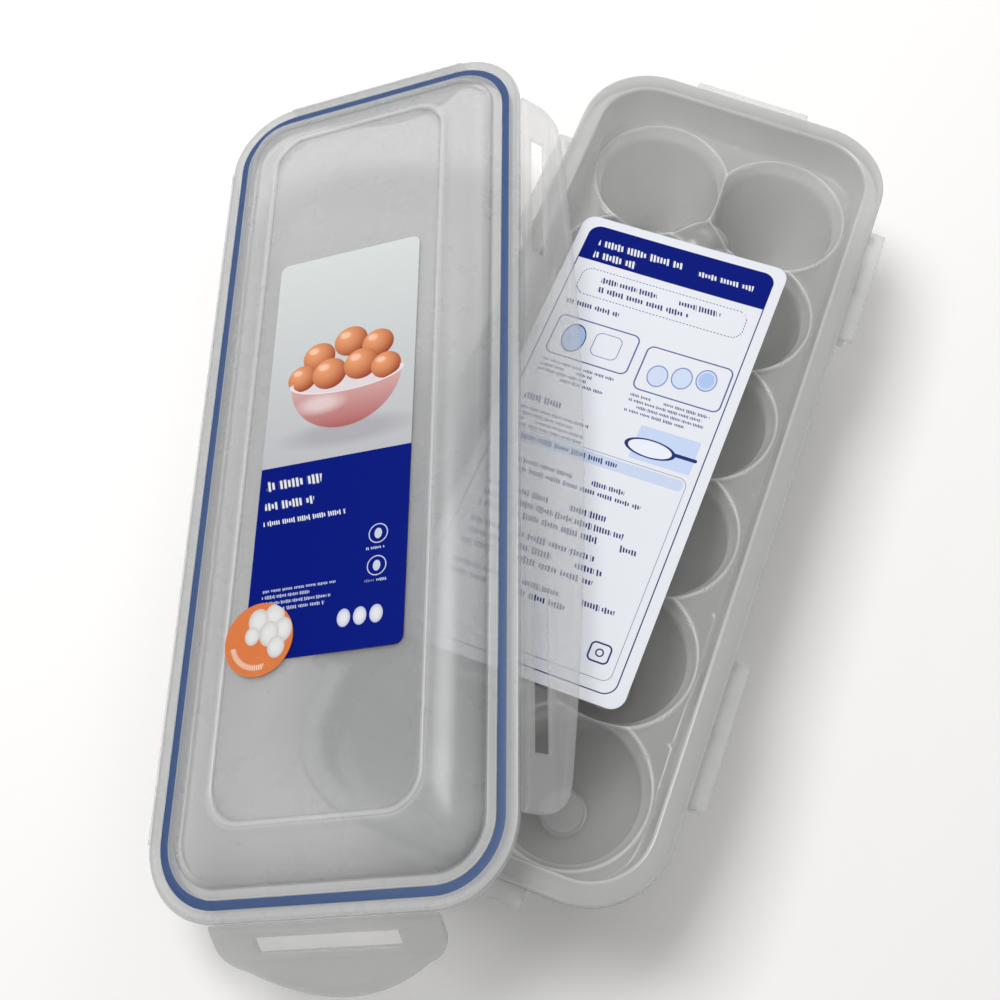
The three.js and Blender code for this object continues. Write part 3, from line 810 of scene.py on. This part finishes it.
def make_flap(side, flap, turn, reach, material):
    """A flap as a plate: a thin web at the root, slots, a sunk field and a rounded edge. Rows of
    points run from the root to the slots' far side, and from there to the free edge."""
    length, _, corner, _, slots = flap
    half = length / 2
    breaks = [-half, -half + 1, -half + corner]
    for centre, slot_half in slots:
        breaks += [centre - slot_half, centre + slot_half]
    breaks += [half - corner, half - 1, half]
    along = steps_between(sorted(breaks), FLAP_STEP)
    ease_in = np.linspace(0, 1, 9)[1:-1] ** 2
    along = np.concatenate([along, -half + ease_in * corner, half - ease_in * corner])
    along = np.unique(np.round(along, 6))
    reach_out = free_edge(along, flap)
    slot_near = SLOT_FAR - SLOT_WIDTH
    fixed = np.concatenate([
        [-HINGE_GAP, 0.3, WEB_WIDTH, WEB_WIDTH + WEB_RAMP],
        np.linspace(WEB_WIDTH + 1.1, slot_near, 3),
        [slot_near + 2, slot_near + 4, SLOT_FAR],
    ])
    free = np.concatenate([np.linspace(0, 0.86, 16)[1:], [0.9, 0.93, 0.955, 0.975, 0.99, 1.0]])
    full = free_edge(np.array(half - corner), flap)
    squeeze = np.minimum(1, reach_out / full)
    s_fixed = fixed[None] * squeeze[:, None]
    s_free = SLOT_FAR * squeeze[:, None] + (reach_out - SLOT_FAR * squeeze)[:, None] * free[None]
    s = np.concatenate([s_fixed, s_free], axis=1)
    a = np.repeat(along[:, None], s.shape[1], axis=1)
    border = np.minimum(reach_out[:, None] - s, half - np.abs(a))
    thick = np.where(s < (WEB_WIDTH + 0.01) * squeeze[:, None], WEB_THICKNESS, FLAP_THICKNESS)
    on_ramp = np.abs(s - (WEB_WIDTH + WEB_RAMP) * squeeze[:, None]) < 0.02
    thick = np.where(on_ramp, FLAP_THICKNESS * 0.86, thick)
    rounding = FLAP_EDGE * (1 - np.sqrt(1 - np.clip(1 - border / FLAP_EDGE_WIDTH, 0, 1) ** 2))
    field = eased_step((s - SLOT_FAR - FIELD_START) / 0.7)
    field = field * eased_step((border - FIELD_MARGIN) / 0.8)
    top = thick / 2 - rounding - FIELD_DEPTH * field
    low = -thick / 2 + rounding
    present = np.ones((a.shape[0] - 1, a.shape[1] - 1), bool)
    mid_a = (a[:-1, :-1] + a[1:, :-1]) / 2
    column = np.arange(present.shape[1])[None]
    in_slot = (column >= np.abs(fixed - slot_near).argmin()) & (column < len(fixed) - 1)
    for centre, slot_half in slots:
        present &= ~((np.abs(mid_a - centre) < slot_half) & in_slot)
    hinge = (
        LID_PLACE
        @ Matrix.Rotation(math.radians(turn), 4, "Z")
        @ shifted(0, reach + HINGE_GAP + WEB_THICKNESS / 2, -FLANGE_THICKNESS / 2)
        @ Matrix.Rotation(math.radians(-DROOPS[side]), 4, "X")
    )
    return make_plate(f"{side}_flap_moulding", a, s, top, low, present, hinge, material)


def make_card(name, size, corner, thickness, place, material, step=4.0, lift=None):
    """A thin card with rounded corners: straight lines across it, each as long as its outline
    allows, raised by lift(x, y) where that is given."""
    half_w, half_l = size[0] / 2, size[1] / 2
    ends = corner * np.sin(np.linspace(0, np.pi / 2, 7))
    straight = np.linspace(-half_w + corner, half_w - corner, int(size[0] / step) + 1)
    x = np.concatenate([-half_w + corner - ends, straight, half_w - corner + ends])
    x = np.unique(np.round(x, 6))
    over = np.maximum(np.abs(x) - (half_w - corner), 0)
    reach = half_l - corner + np.sqrt(np.maximum(corner ** 2 - over ** 2, 0))
    t = np.linspace(-1, 1, int(size[1] / step) + 1)
    y = reach[:, None] * t[None]
    x = np.repeat(x[:, None], len(t), axis=1)
    rise = lift(x, y) if lift else np.zeros_like(x)
    present = np.ones((x.shape[0] - 1, x.shape[1] - 1), bool)
    top, low = rise + thickness / 2, rise - thickness / 2
    return make_plate(name, x, y, top, low, present, place, material, ease=0, sharp=40)


# Materials


class Value:
    """A socket of a material, as a number: arithmetic on it adds Math nodes."""

    def __init__(self, look, socket):
        self.look = look
        self.socket = socket

    def math(self, operation, *others, clamp=False):
        node = self.look.tree.nodes.new("ShaderNodeMath")
        node.operation = operation
        node.use_clamp = clamp
        for slot, item in zip(node.inputs, (self, *others)):
            self.look.feed(slot, item)
        return Value(self.look, node.outputs[0])

    def __add__(self, other):
        return self.math("ADD", other)

    __radd__ = __add__

    def __mul__(self, other):
        return self.math("MULTIPLY", other)

    __rmul__ = __mul__

    def __sub__(self, other):
        return self.math("SUBTRACT", other)

    def __rsub__(self, other):
        return (self * -1) + other

    def __truediv__(self, other):
        return self.math("DIVIDE", other)

    def __abs__(self):
        return self.math("ABSOLUTE")

    def most(self, other):
        return self.math("MAXIMUM", other)

    def least(self, other):
        return self.math("MINIMUM", other)

    def held(self):
        """Kept between 0 and 1."""
        return self.math("ADD", 0, clamp=True)

    def above(self, edge, soft=0.12):
        """1 where the number is over the edge, 0 under it, and even between over the width soft."""
        return ((self - edge) / soft + 0.5).held()

    def below(self, edge, soft=0.12):
        return 1 - self.above(edge, soft)

    def line(self, width, soft=0.12):
        """1 along the line where the number is 0, within half the width."""
        return abs(self).below(width / 2, soft)


class Look:
    """A material under construction, or the world where that is given."""

    def __init__(self, name, world=None):
        self.material = world or bpy.data.materials.new(name)
        self.material.use_nodes = True
        self.tree = self.material.node_tree
        self.tree.nodes.clear()
        last = "ShaderNodeOutputWorld" if world else "ShaderNodeOutputMaterial"
        self.output = self.tree.nodes.new(last)

    def feed(self, slot, item):
        if isinstance(item, Value):
            item = item.socket
        if isinstance(item, bpy.types.NodeSocket):
            self.tree.links.new(item, slot)
        elif isinstance(item, tuple) and len(item) == 3 and slot.type == "RGBA":
            slot.default_value = (*item, 1)
        else:
            slot.default_value = item

    def node(self, kind, settings=None, sockets=None, out=0):
        """Adds a node: its settings first, then the values or links of its sockets."""
        node = self.tree.nodes.new(kind)
        for key, item in (settings or {}).items():
            setattr(node, key, item)
        for key, item in (sockets or {}).items():
            self.feed(node.inputs[key], item)
        return node.outputs[out]

    def value(self, *args, **kwargs):
        return Value(self, self.node(*args, **kwargs))

    def ray(self, kind):
        """1 where a ray of the kind named is asking, such as Is Shadow Ray."""
        return self.value("ShaderNodeLightPath", out=kind)

    def place(self):
        return self.node("ShaderNodeTexCoord", out="Object")

    def kept(self, name):
        """The three numbers that a piece's points keep as the attribute named."""
        vector = self.node("ShaderNodeAttribute", {"attribute_name": name}, out="Vector")
        split = self.tree.nodes.new("ShaderNodeSeparateXYZ")
        self.tree.links.new(vector, split.inputs[0])
        return [Value(self, output) for output in split.outputs]

    def noise(self, vector, scale, detail=2.0, rough=0.5):
        return self.value("ShaderNodeTexNoise", None, {
            "Vector": vector, "Scale": scale, "Detail": detail, "Roughness": rough,
        })

    def paint(self, under, colour, mask):
        """Colour laid over what is under it, by a mask."""
        sockets = {0: mask, 6: under, 7: colour}
        return self.node("ShaderNodeMix", {"data_type": "RGBA"}, sockets, out=2)

    def bump(self, height, strength, distance):
        sockets = {"Height": height, "Strength": strength, "Distance": distance}
        return self.node("ShaderNodeBump", None, sockets)

    def finish(self, shader):
        self.tree.links.new(shader, self.output.inputs["Surface"])
        return self.material


def frosted_plastic(name, tone, opacity, gloss, shade, seed, with_haze_and_painted_light=False):
    """Clear moulded plastic with a milky haze: a broad wave and a fine grain in the surface,
    cloudier and clearer patches, and faint smears that dull the gloss. Where asked, a point
    attribute makes thick parts milkier with painted highlight lines, paints shade as thin dark
    lines beside them and as a darker deck on the tray, and makes places that touch what lies
    behind them clear. Its shadow is its haze times the share shade, because a milky plastic
    passes more light than sight."""
    look = Look(name)
    here = look.node("ShaderNodeMapping", None, {
        "Vector": look.place(), "Location": (seed, seed * 0.7, 0),
    })
    wave = look.noise(here, 26, 1)
    grain = look.noise(here, 700, 2)
    cloud = look.noise(here, 14, 3)
    smear = look.noise(here, 60, 4, 0.6)
    colour = look.paint(tuple(c * 0.95 for c in tone), tuple(c * 1.05 for c in tone), cloud)
    alpha = cloud * 0.08 + (opacity - 0.04)
    if with_haze_and_painted_light:
        milk_and_highlight, painted_shade, clear = look.kept("haze_and_painted_light")
        # Painted highlight lines with the milky haze, then painted shade as dark lines and a darker
        # deck.
        colour = look.paint(colour, MILK_AND_HIGHLIGHT_TONE, milk_and_highlight)
        colour = look.paint(colour, PAINTED_SHADE_TONE, painted_shade * 0.8)
        alpha = alpha + milk_and_highlight * (0.9 - opacity) + painted_shade * (0.75 - opacity)
        alpha = alpha.least(0.96) * (1 - clear * 0.93)
    alpha = look.ray("Is Shadow Ray") * (shade - 1) * alpha + alpha
    return look.finish(look.node("ShaderNodeBsdfPrincipled", None, {
        "Base Color": colour,
        "Roughness": smear * 0.1 + (gloss - 0.05),
        "Alpha": alpha,
        "IOR": 1.49,
        "Subsurface Weight": 0.6,
        "Subsurface Radius": (1.0, 1.0, 1.0),
        "Subsurface Scale": 0.012,
        "Normal": look.bump(wave * 0.6 + grain * 0.01, 0.5, 0.001),
    }))


def seal_rubber():
    """Blue silicone: a soft sheen, a slight mottle and a fine grain."""
    look = Look("seal_rubber")
    mottle = look.noise(look.place(), 220, 3)
    return look.finish(look.node("ShaderNodeBsdfPrincipled", None, {
        "Base Color": look.paint((0.013, 0.058, 0.19), (0.022, 0.074, 0.225), mottle),
        "Roughness": mottle * 0.15 + 0.4,
        "Normal": look.bump(look.noise(look.place(), 1500, 2), 0.3, 0.0002),
    }))


class Print(Look):
    """The printed face of a card: colours laid over each other, in the card's own millimetres."""

    def __init__(self, name):
        super().__init__(name)
        self.x, self.y, _ = self.kept("own")
        self.colour = None

    def lay(self, colour, mask):
        self.colour = self.paint(self.colour, colour, mask)

    def box(self, centre, half, corner):
        """Signed distance in mm from a rounded rectangle: negative inside."""
        qx = abs(self.x - centre[0]) - (half[0] - corner)
        qy = abs(self.y - centre[1]) - (half[1] - corner)
        px, py = qx.most(0), qy.most(0)
        return (px * px + py * py).math("SQRT") + qx.most(qy).least(0) - corner

    def oval(self, centre, radii):
        """Distance from an ellipse's middle in shares of its radii."""
        px, py = (self.x - centre[0]) / radii[0], (self.y - centre[1]) / radii[1]
        return (px * px + py * py).math("SQRT")

    def marks(self, area, pitch, share, seed, cell):
        """Rows of fine marks like small print: slanted strokes of uneven height, one to each
        cell, in groups. A hash of stroke and row sets the height, a hash of group and row leaves
        gaps, and one of the row sets its end."""
        low_x, high_x, low_y, high_y = area
        x, y = self.x, self.y
        row = ((y - low_y) / pitch).math("FLOOR")
        within = abs(((y - low_y) / pitch).math("FRACT") - 0.5)
        across = (x + y * 0.22 - low_x) / cell
        group = across / 7.0 + row * 0.37

        def hashed(place, salt):
            spot = self.node("ShaderNodeCombineXYZ", None, {0: place, 1: row, 2: seed + salt})
            settings = {"noise_dimensions": "3D"}
            return self.value("ShaderNodeTexWhiteNoise", settings, {"Vector": spot})

        tall = hashed(across.math("FLOOR"), 0.0) * 0.5 + 0.5
        band = (tall * (share / 2) - within).above(0, 0.08)
        printed = hashed(group.math("FLOOR"), 31.0).below(0.93, 0.02)
        printed = printed * group.math("FRACT").above(0.12, 0.02)
        stroke = abs(across.math("FRACT") - 0.5).below(0.3, 0.16)
        width = high_x - low_x
        end = x.below(hashed(0.5, 57.0) * width * 0.35 + (low_x + width * 0.65), 0.1)
        inside = x.above(low_x, 0.1) * x.below(high_x, 0.1)
        inside = inside * y.above(low_y, 0.1) * y.below(high_y, 0.1)
        return band * stroke * printed * end * inside

    def paper(self, roughness, sheen_level, through=0.0):
        """The card's paper: a fibre grain in the surface and a slightly uneven sheen. Thin paper
        lets the share through of the light pass."""
        fibre = self.noise(self.place(), 1200, 3)
        return self.finish(self.node("ShaderNodeBsdfPrincipled", None, {
            "Base Color": self.colour,
            "Roughness": fibre * 0.12 + (roughness - 0.06),
            "Specular IOR Level": sheen_level,
            "Alpha": self.ray("Is Shadow Ray") * -through + 1 if through else 1.0,
            "Normal": self.bump(fibre, 0.25, 0.0001),
        }))


NAVY = (0.0006, 0.008, 0.19)
PALE_BLUE = (0.42, 0.55, 0.82)
INK = (0.02, 0.03, 0.17)
FINE_INK = (0.05, 0.07, 0.22)
LABEL_WHITE = (0.74, 0.76, 0.78)
LEAFLET_WHITE = (0.82, 0.84, 0.90)


def label_print():
    """The label: a pale upper part with a bowl of round fruit, and a deep blue lower part with
    fine marks, two round signs and a row of three egg shapes."""
    face = Print("label_print")
    y, lay, oval, marks = face.y, face.lay, face.oval, face.marks
    face.colour = face.paint((0.46, 0.46, 0.49), (0.64, 0.68, 0.67), ((y + 20) / 95).held())
    lay((0.33, 0.32, 0.36), oval((4.0, 1.5), (21.0, 4.6)).below(1, 0.7) * 0.6)
    rim = oval((2.0, 23.0), (21.0, 5.4))
    inside_rim = rim.below(1, 0.03)
    lay((0.70, 0.64, 0.66), inside_rim)
    for fx, fy, size in (
        (-9, 33, 6.2), (3, 37, 6.4), (13.5, 34, 6.0),
        (-15, 25.5, 5.6), (-4.5, 25.5, 6.6), (7.5, 27, 6.6), (17, 24.5, 5.6),
    ):
        glow = oval((fx - size * 0.35, fy + size * 0.38), (size * 1.45, size * 1.35))
        away = glow.math("POWER", 1.5, clamp=True)
        fruit = face.paint((0.80, 0.34, 0.16), (0.30, 0.055, 0.022), away)
        shine = oval((fx - size * 0.36, fy + size * 0.44), (size * 0.3, size * 0.2)).below(1, 0.6)
        fruit = face.paint(fruit, (0.90, 0.62, 0.46), shine * 0.7)
        lay(fruit, oval((fx, fy), (size, size * 0.92)).below(1, 0.04))
    bowl = oval((2.0, 23.0), (21.0, 19.5)).below(1, 0.02) * y.below(23.0, 0.2)
    bowl = (bowl - inside_rim).most(0)
    bowl_tone = face.paint((0.40, 0.085, 0.08), (0.66, 0.40, 0.38), ((y - 3) / 20).held())
    sheen = oval((-7.0, 14.0), (7.5, 3.2)).below(1, 0.9)
    lay(face.paint(bowl_tone, (0.80, 0.68, 0.68), sheen * 0.7), bowl * 0.92)
    lay((0.76, 0.72, 0.74), (rim * 12 - 12).line(0.8) * y.below(23.5, 1.0))
    lay(NAVY, y.below(-7.6, 0.15))
    for area, pitch, share, seed, cell in (
        ((-25.0, 3.0, -17.5, -11.5), 6.0, 0.62, 41.0, 1.5),
        ((-25.0, -4.0, -24.5, -19.5), 5.0, 0.6, 43.0, 1.3),
        ((-25.0, 14.0, -30.0, -26.5), 3.5, 0.6, 47.0, 0.8),
    ):
        lay(LABEL_WHITE, marks(area, pitch, share, seed, cell))
    for cy in (-38.0, -49.0):
        ring = (oval((17.5, cy), (3.4, 3.4)) * 3.4 - 3.2).line(0.35)
        egg = oval((17.5, cy), (1.3, 1.8)).below(1, 0.1)
        caption = marks((13.5, 22.5, cy - 5.6, cy - 4.2), 1.4, 0.7, 51.0 + cy, 0.6)
        lay((0.56, 0.60, 0.72), ring.most(egg).most(caption))
    for number in range(3):
        egg = oval((7.0 + number * 5.6, -65.0), (2.3, 3.0))
        shaded = face.paint(LABEL_WHITE, (0.42, 0.46, 0.62), egg.math("POWER", 3, clamp=True))
        lay(shaded, egg.below(1, 0.04))
    lay((0.50, 0.54, 0.68), marks((-23.0, 4.0, -60.0, -52.0), 2.2, 0.6, 3.0, 0.6))
    return face.paper(0.3, 0.08)


def sticker_print():
    """The sticker: an orange ground, a pale heap of eggs in soft grey outlines, and fine pale
    marks along its lower edge."""
    face = Print("sticker_print")
    x, y = face.x, face.y
    mottle = face.noise(face.place(), 300, 2)
    face.colour = face.paint((0.64, 0.17, 0.05), (0.70, 0.21, 0.07), mottle)
    for ex, ey, rx, ry in (
        (5.0, 7.0, 3.6, 4.2), (-0.6, 6.2, 3.5, 4.0), (8.4, 2.4, 3.2, 4.0), (3.6, 1.6, 3.4, 4.2),
        (6.4, -3.0, 3.0, 3.6), (-2.4, 1.4, 2.6, 3.0),
    ):
        egg = face.oval((ex, ey), (rx, ry))
        away = egg.math("POWER", 3, clamp=True) * 0.8
        tone = face.paint((0.74, 0.74, 0.73), (0.46, 0.47, 0.48), away)
        face.lay(tone, egg.below(1, 0.05))
        face.lay((0.80, 0.60, 0.46), (egg * rx - rx).line(0.25) * 0.4)
    reach = (x * x + y * y).math("SQRT")
    angle = y.math("ARCTAN2", x) * 12.0
    marks = (reach - 9.2).line(1.7, 0.4) * y.below(-2.0, 0.3) * x.below(2.5, 0.3)
    face.lay((0.86, 0.72, 0.60), marks * abs(angle.math("FRACT") - 0.5).below(0.26, 0.15))
    return face.paper(0.35, 0.1)


def leaflet_print():
    """The leaflet: white paper with a blue heading, two thin border lines, boxes and fine marks."""
    face = Print("leaflet_print")
    lay, box, oval = face.lay, face.box, face.oval
    half_w, half_l = LEAFLET_SIZE[0] / 2, LEAFLET_SIZE[1] / 2
    mottle = face.noise(face.place(), 30, 2)
    face.colour = face.paint((0.76, 0.785, 0.835), (0.80, 0.82, 0.865), mottle)
    border = box((0, 0), (half_w - 4.0, half_l - 4.0), 4.5)
    lay(INK, border.line(0.42))
    lay((0.25, 0.28, 0.42), box((0, -44.0), (half_w - 6.8, 38.4), 3.0).line(0.25))
    lay(NAVY, border.below(0) * face.y.above(half_l - 20.0, 0.15))
    dotted = ((face.x + face.y) / 1.3).math("FRACT").above(0.45, 0.2)
    lay((0.16, 0.19, 0.38), box((0, 61.0), (32.0, 6.0), 4.0).line(0.4) * dotted)
    for centre, half in (((-17.0, 35.5), (15.5, 8.6)), ((18.5, 32.5), (16.0, 9.4))):
        lay((0.10, 0.13, 0.34), box(centre, half, 2.6).line(0.55))
    leaf = oval((-24.5, 35.5), (4.2, 6.0))
    lay(PALE_BLUE, leaf.below(1, 0.05))
    lay(INK, (leaf * 5 - 5).line(0.45))
    lay((0.16, 0.2, 0.42), box((-12.0, 36.0), (5.0, 5.0), 2.5).line(0.3))
    for number in range(3):
        cup = oval((9.5 + number * 8.5, 30.5 + number * 2.0), (3.6, 4.4))
        lay((0.62, 0.70, 0.88), cup.below(1, 0.04))
        lay((0.20, 0.26, 0.56), (cup * 4 - 4).line(0.45))
    lay(PALE_BLUE, oval((26.5, 34.5), (2.8, 3.4)).below(1, 0.05))
    lay((0.56, 0.66, 0.88), box((22.0, 3.0), (11.0, 6.8), 0.4).below(0))
    dish = oval((17.0, 1.6), (8.6, 3.4))
    lay((0.80, 0.84, 0.92), dish.below(1, 0.05))
    lay(INK, (dish * 5 - 5).line(0.8))
    lay(INK, box((29.5, 2.2), (4.4, 0.7), 0.6).below(0))
    lay(PALE_BLUE, box((0.0, -8.6), (32.5, 2.2), 1.8).below(0) * 0.55)
    for colour, area, pitch, share, seed, cell in (
        (LEAFLET_WHITE, (-31.0, 4.0, 76.6, 81.6), 5.0, 0.66, 61.0, 1.3),
        (LEAFLET_WHITE, (-31.0, -8.0, 71.0, 76.0), 5.0, 0.66, 63.0, 1.3),
        (LEAFLET_WHITE, (8.0, 33.0, 76.0, 80.0), 4.0, 0.66, 67.0, 1.2),
        (INK, (-24.0, 25.0, 56.6, 65.2), 4.3, 0.62, 7.0, 1.1),
        (INK, (-33.0, -10.0, 48.6, 52.2), 3.6, 0.66, 9.0, 1.0),
        (FINE_INK, (-32.0, -4.0, 16.0, 25.0), 2.2, 0.62, 11.0, 0.6),
        (FINE_INK, (3.0, 34.0, 12.6, 21.4), 2.2, 0.62, 13.0, 0.6),
        (INK, (-32.0, -12.0, 5.0, 9.4), 4.4, 0.66, 15.0, 1.1),
        (FINE_INK, (-32.0, -6.0, -5.6, 3.4), 2.3, 0.62, 17.0, 0.6),
        (INK, (-30.0, 20.0, -10.6, -6.6), 4.0, 0.6, 19.0, 0.9),
        (INK, (-31.0, 27.0, -22.8, -16.0), 3.4, 0.62, 21.0, 0.9),
        (INK, (-31.0, 29.0, -39.6, -27.0), 4.2, 0.62, 22.0, 1.0),
        (INK, (-31.0, 31.0, -54.6, -42.0), 4.2, 0.62, 23.0, 1.1),
        (INK, (-31.0, 33.0, -65.6, -58.0), 3.8, 0.62, 24.0, 1.0),
    ):
        lay(colour, face.marks(area, pitch, share, seed, cell))
    stamp = box((27.0, -74.0), (3.4, 3.2), 1.6).line(0.6)
    lay(INK, stamp.most((oval((27.0, -74.0), (1.5, 1.5)) * 1.5 - 1.2).line(0.5)))
    return face.paper(0.5, 0.06, 0.45)


# Pieces


TRAY_TONE = (0.475, 0.48, 0.465)
LID_TONE = (0.455, 0.46, 0.465)
# Painted light: the side flaps are a lit copy of the lid's plastic, lighter than the lid; the lugs
# take this lighter tone too.
LIT_FLAP_TONE = (0.66, 0.665, 0.66)
# Painted shade: the end flaps are a shaded copy of the same plastic, darker and denser.
SHADED_END_TONE = (0.46, 0.465, 0.46)
# Painted highlight: milky haze and bright lines. Painted shade: thin dark lines and the darker
# deck.
MILK_AND_HIGHLIGHT_TONE = (0.70, 0.71, 0.705)
PAINTED_SHADE_TONE = (0.27, 0.275, 0.275)
tray_plastic = frosted_plastic("tray_plastic", TRAY_TONE, 0.58, 0.2, 1.0, 0.0, with_haze_and_painted_light=True)
lug_plastic = frosted_plastic("lug_plastic", LIT_FLAP_TONE, 0.30, 0.2, 1.0, 0.2)
lid_plastic = frosted_plastic("lid_plastic", LID_TONE, 0.48, 0.28, 0.55, 0.4, with_haze_and_painted_light=True)
lit_flap_plastic = frosted_plastic("lit_flap_plastic", LIT_FLAP_TONE, 0.26, 0.22, 0.7, 0.9)
shaded_end_plastic = frosted_plastic("shaded_end_plastic", SHADED_END_TONE, 0.42, 0.22, 0.8, 0.9)


def fit(obj, body, slot_name, *nodes):
    """Puts a finished piece on its body and hides the solids that it stands for. Its slot name is
    not used."""
    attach(obj, body)
    if nodes:
        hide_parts(*nodes)
    return obj


fit(make_tray(tray_plastic), "tray", "frosted_plastic", "tray")
for lug_piece in make_lugs(lug_plastic):
    fit(lug_piece, "tray", "frosted_plastic")
fit(make_lid(lid_plastic), "lid", "frosted_plastic", "lid_shell")
fit(make_seal(seal_rubber()), "lid", "blue_seal", "seal_ring")
for flap_side, flap_shape, flap_turn, flap_reach in (
    ("right", SIDE_FLAP, -90, FLANGE_HALF_WIDTH),
    ("left", SIDE_FLAP, 90, FLANGE_HALF_WIDTH),
    ("near", END_FLAP, 180, FLANGE_HALF_LENGTH),
    ("far", END_FLAP, 0, FLANGE_HALF_LENGTH),
):
    # End flaps take the painted-shade copy of the plastic, side flaps the painted-lit copy.
    piece_plastic = shaded_end_plastic if flap_shape is END_FLAP else lit_flap_plastic
    piece = make_flap(flap_side, flap_shape, flap_turn, flap_reach, piece_plastic)
    fit(piece, f"{flap_side}_flap", "frosted_plastic", f"flap_{flap_side}")

label_place = LID_PLACE @ shifted(0, LABEL_SHIFT, LABEL_HEIGHT + PAPER / 2)
label = make_card("label_card", LABEL_SIZE, LABEL_CORNER, PAPER, label_place, label_print())
fit(label, "lid", "label_print", "label")
sticker_centre = Matrix.Translation(centre_of("round_sticker"))
sticker_place = sticker_centre @ turned(LID_TURN) @ Matrix.Scale(MM, 4)
sticker_rows = carried([(4, PAPER / 2), (0, PAPER / 2), (0, -PAPER / 2), (4, -PAPER / 2)],
                       STICKER_RADIUS, STICKER_RADIUS, STICKER_RADIUS - 0.001, 0.5)
sticker = lofted("sticker_disc", sticker_rows, sticker_place, sticker_print(), sharp=40)
fit(sticker, "lid", "sticker_print", "round_sticker")


def leaflet_lift(x, y):
    """The leaflet's right side lifts a little, as the square of the distance from a line 10 mm
    left of its middle, and a little less towards its ends."""
    return 0.9 * np.clip((x + 10) / 50, 0, 1) ** 2 * (1 - 0.3 * np.abs(y) / 90)


leaflet_place = LEAFLET_PLACE @ shifted(0, 0, LEAFLET_PAPER / 2)
leaflet = make_card("leaflet_sheet", LEAFLET_SIZE, LEAFLET_CORNER, LEAFLET_PAPER, leaflet_place,
                    leaflet_print(), lift=leaflet_lift)
fit(leaflet, "leaflet", "leaflet_print", "leaflet")


# Scene


def make_floor():
    """A wide pale floor. Seen by the camera it is lifted towards white, and it keeps the
    shadows. Well away from the piece it goes over to the plain white of the backdrop."""
    reach = 3.0
    corners = [(-reach, -reach, 0), (reach, -reach, 0), (reach, reach, 0), (-reach, reach, 0)]
    mesh = bpy.data.meshes.new("floor")
    mesh.from_pydata(corners, [], [(0, 1, 2, 3)])
    floor = bpy.data.objects.new("floor", mesh)
    bpy.context.scene.collection.objects.link(floor)
    look = Look("floor_pale")
    plain = (1.0, 1.0, 1.0)
    seen = look.ray("Is Camera Ray").most(look.ray("Is Glossy Ray"))
    seen = seen.most(look.ray("Is Transmission Ray"))
    diffuse = look.node("ShaderNodeBsdfDiffuse", None, {"Color": (0.95, 0.94, 0.925)})
    glow = look.node("ShaderNodeEmission", None, {"Color": plain, "Strength": seen * FLOOR_LIFT})
    ground = look.node("ShaderNodeAddShader", None, {0: diffuse, 1: glow})
    away = look.value("ShaderNodeVectorMath", {"operation": "LENGTH"}, {0: look.place()}, "Value")
    white = look.node("ShaderNodeEmission", None, {"Color": plain, "Strength": 1.0})
    far = away.above(0.46, 0.16) * seen
    surface = look.node("ShaderNodeMixShader", None, {0: far, 1: ground, 2: white})
    mesh.materials.append(look.finish(surface))


def make_lamp(name, location, target, size, power):
    """A rectangular lamp that looks from its location to its target."""
    data = bpy.data.lights.new(name, "AREA")
    data.shape = "RECTANGLE"
    data.size, data.size_y = size
    data.energy = power
    lamp = bpy.data.objects.new(name, data)
    bpy.context.scene.collection.objects.link(lamp)
    lamp.location = location
    lamp.rotation_euler = (Vector(target) - Vector(location)).to_track_quat("-Z", "Y").to_euler()


def make_world(level):
    """Even light from all round; the camera sees plain white."""
    look = Look("studio", bpy.data.worlds.new("studio"))
    bpy.context.scene.world = look.material
    tint = (1.0, 0.995, 0.985)
    soft = look.node("ShaderNodeBackground", None, {"Color": tint, "Strength": level})
    white = look.node("ShaderNodeBackground", None, {"Color": (1.0, 1.0, 1.0)})
    camera = look.ray("Is Camera Ray")
    look.finish(look.node("ShaderNodeMixShader", None, {0: camera, 1: soft, 2: white}))


def make_camera():
    """The photograph's camera: its place over the tray's middle, its axes and its frame, in mm."""
    place = Vector((31.8, -204.4, 442.1)) * MM + Vector((tray_centre.x, tray_centre.y, 0))
    right = Vector((0.93631, 0.34917, 0.03738))
    up = -Vector((0.33067, -0.84085, -0.42852))
    back = -Vector((-0.1182, 0.41359, -0.90276))
    axes = Matrix((right, up, back)).transposed()
    data = bpy.data.cameras.new("camera")
    data.lens = 45.72
    data.sensor_width = 36.0
    data.shift_x = -0.0445
    data.shift_y = -0.0183
    camera = bpy.data.objects.new("camera", data)
    bpy.context.scene.collection.objects.link(camera)
    camera.matrix_world = Matrix.Translation(place) @ axes.to_4x4()
    bpy.context.scene.camera = camera


FLOOR_LIFT = 0.05
make_floor()
make_world(0.25)
make_lamp("key", (-0.46, 0.12, 1.25), (0, 0, 0), (0.6, 0.6), 12.9)
make_lamp("far_side", (0.15, 0.75, 0.55), (0.05, 0.15, 0), (0.5, 0.3), 1.1)
make_lamp("fill", (0.8, -0.7, 1.1), (0, 0, 0), (1.0, 1.0), 1.4)
make_lamp("window", (-1.37, 0.56, 0.73), (0, 0, 0), (0.05, 0.08), 0.22)
make_lamp("pane", (-1.09, -0.30, 1.10), (0, 0, 0), (0.05, 0.08), 0.25)
make_camera()
bpy.context.scene.view_settings.view_transform = "Standard"
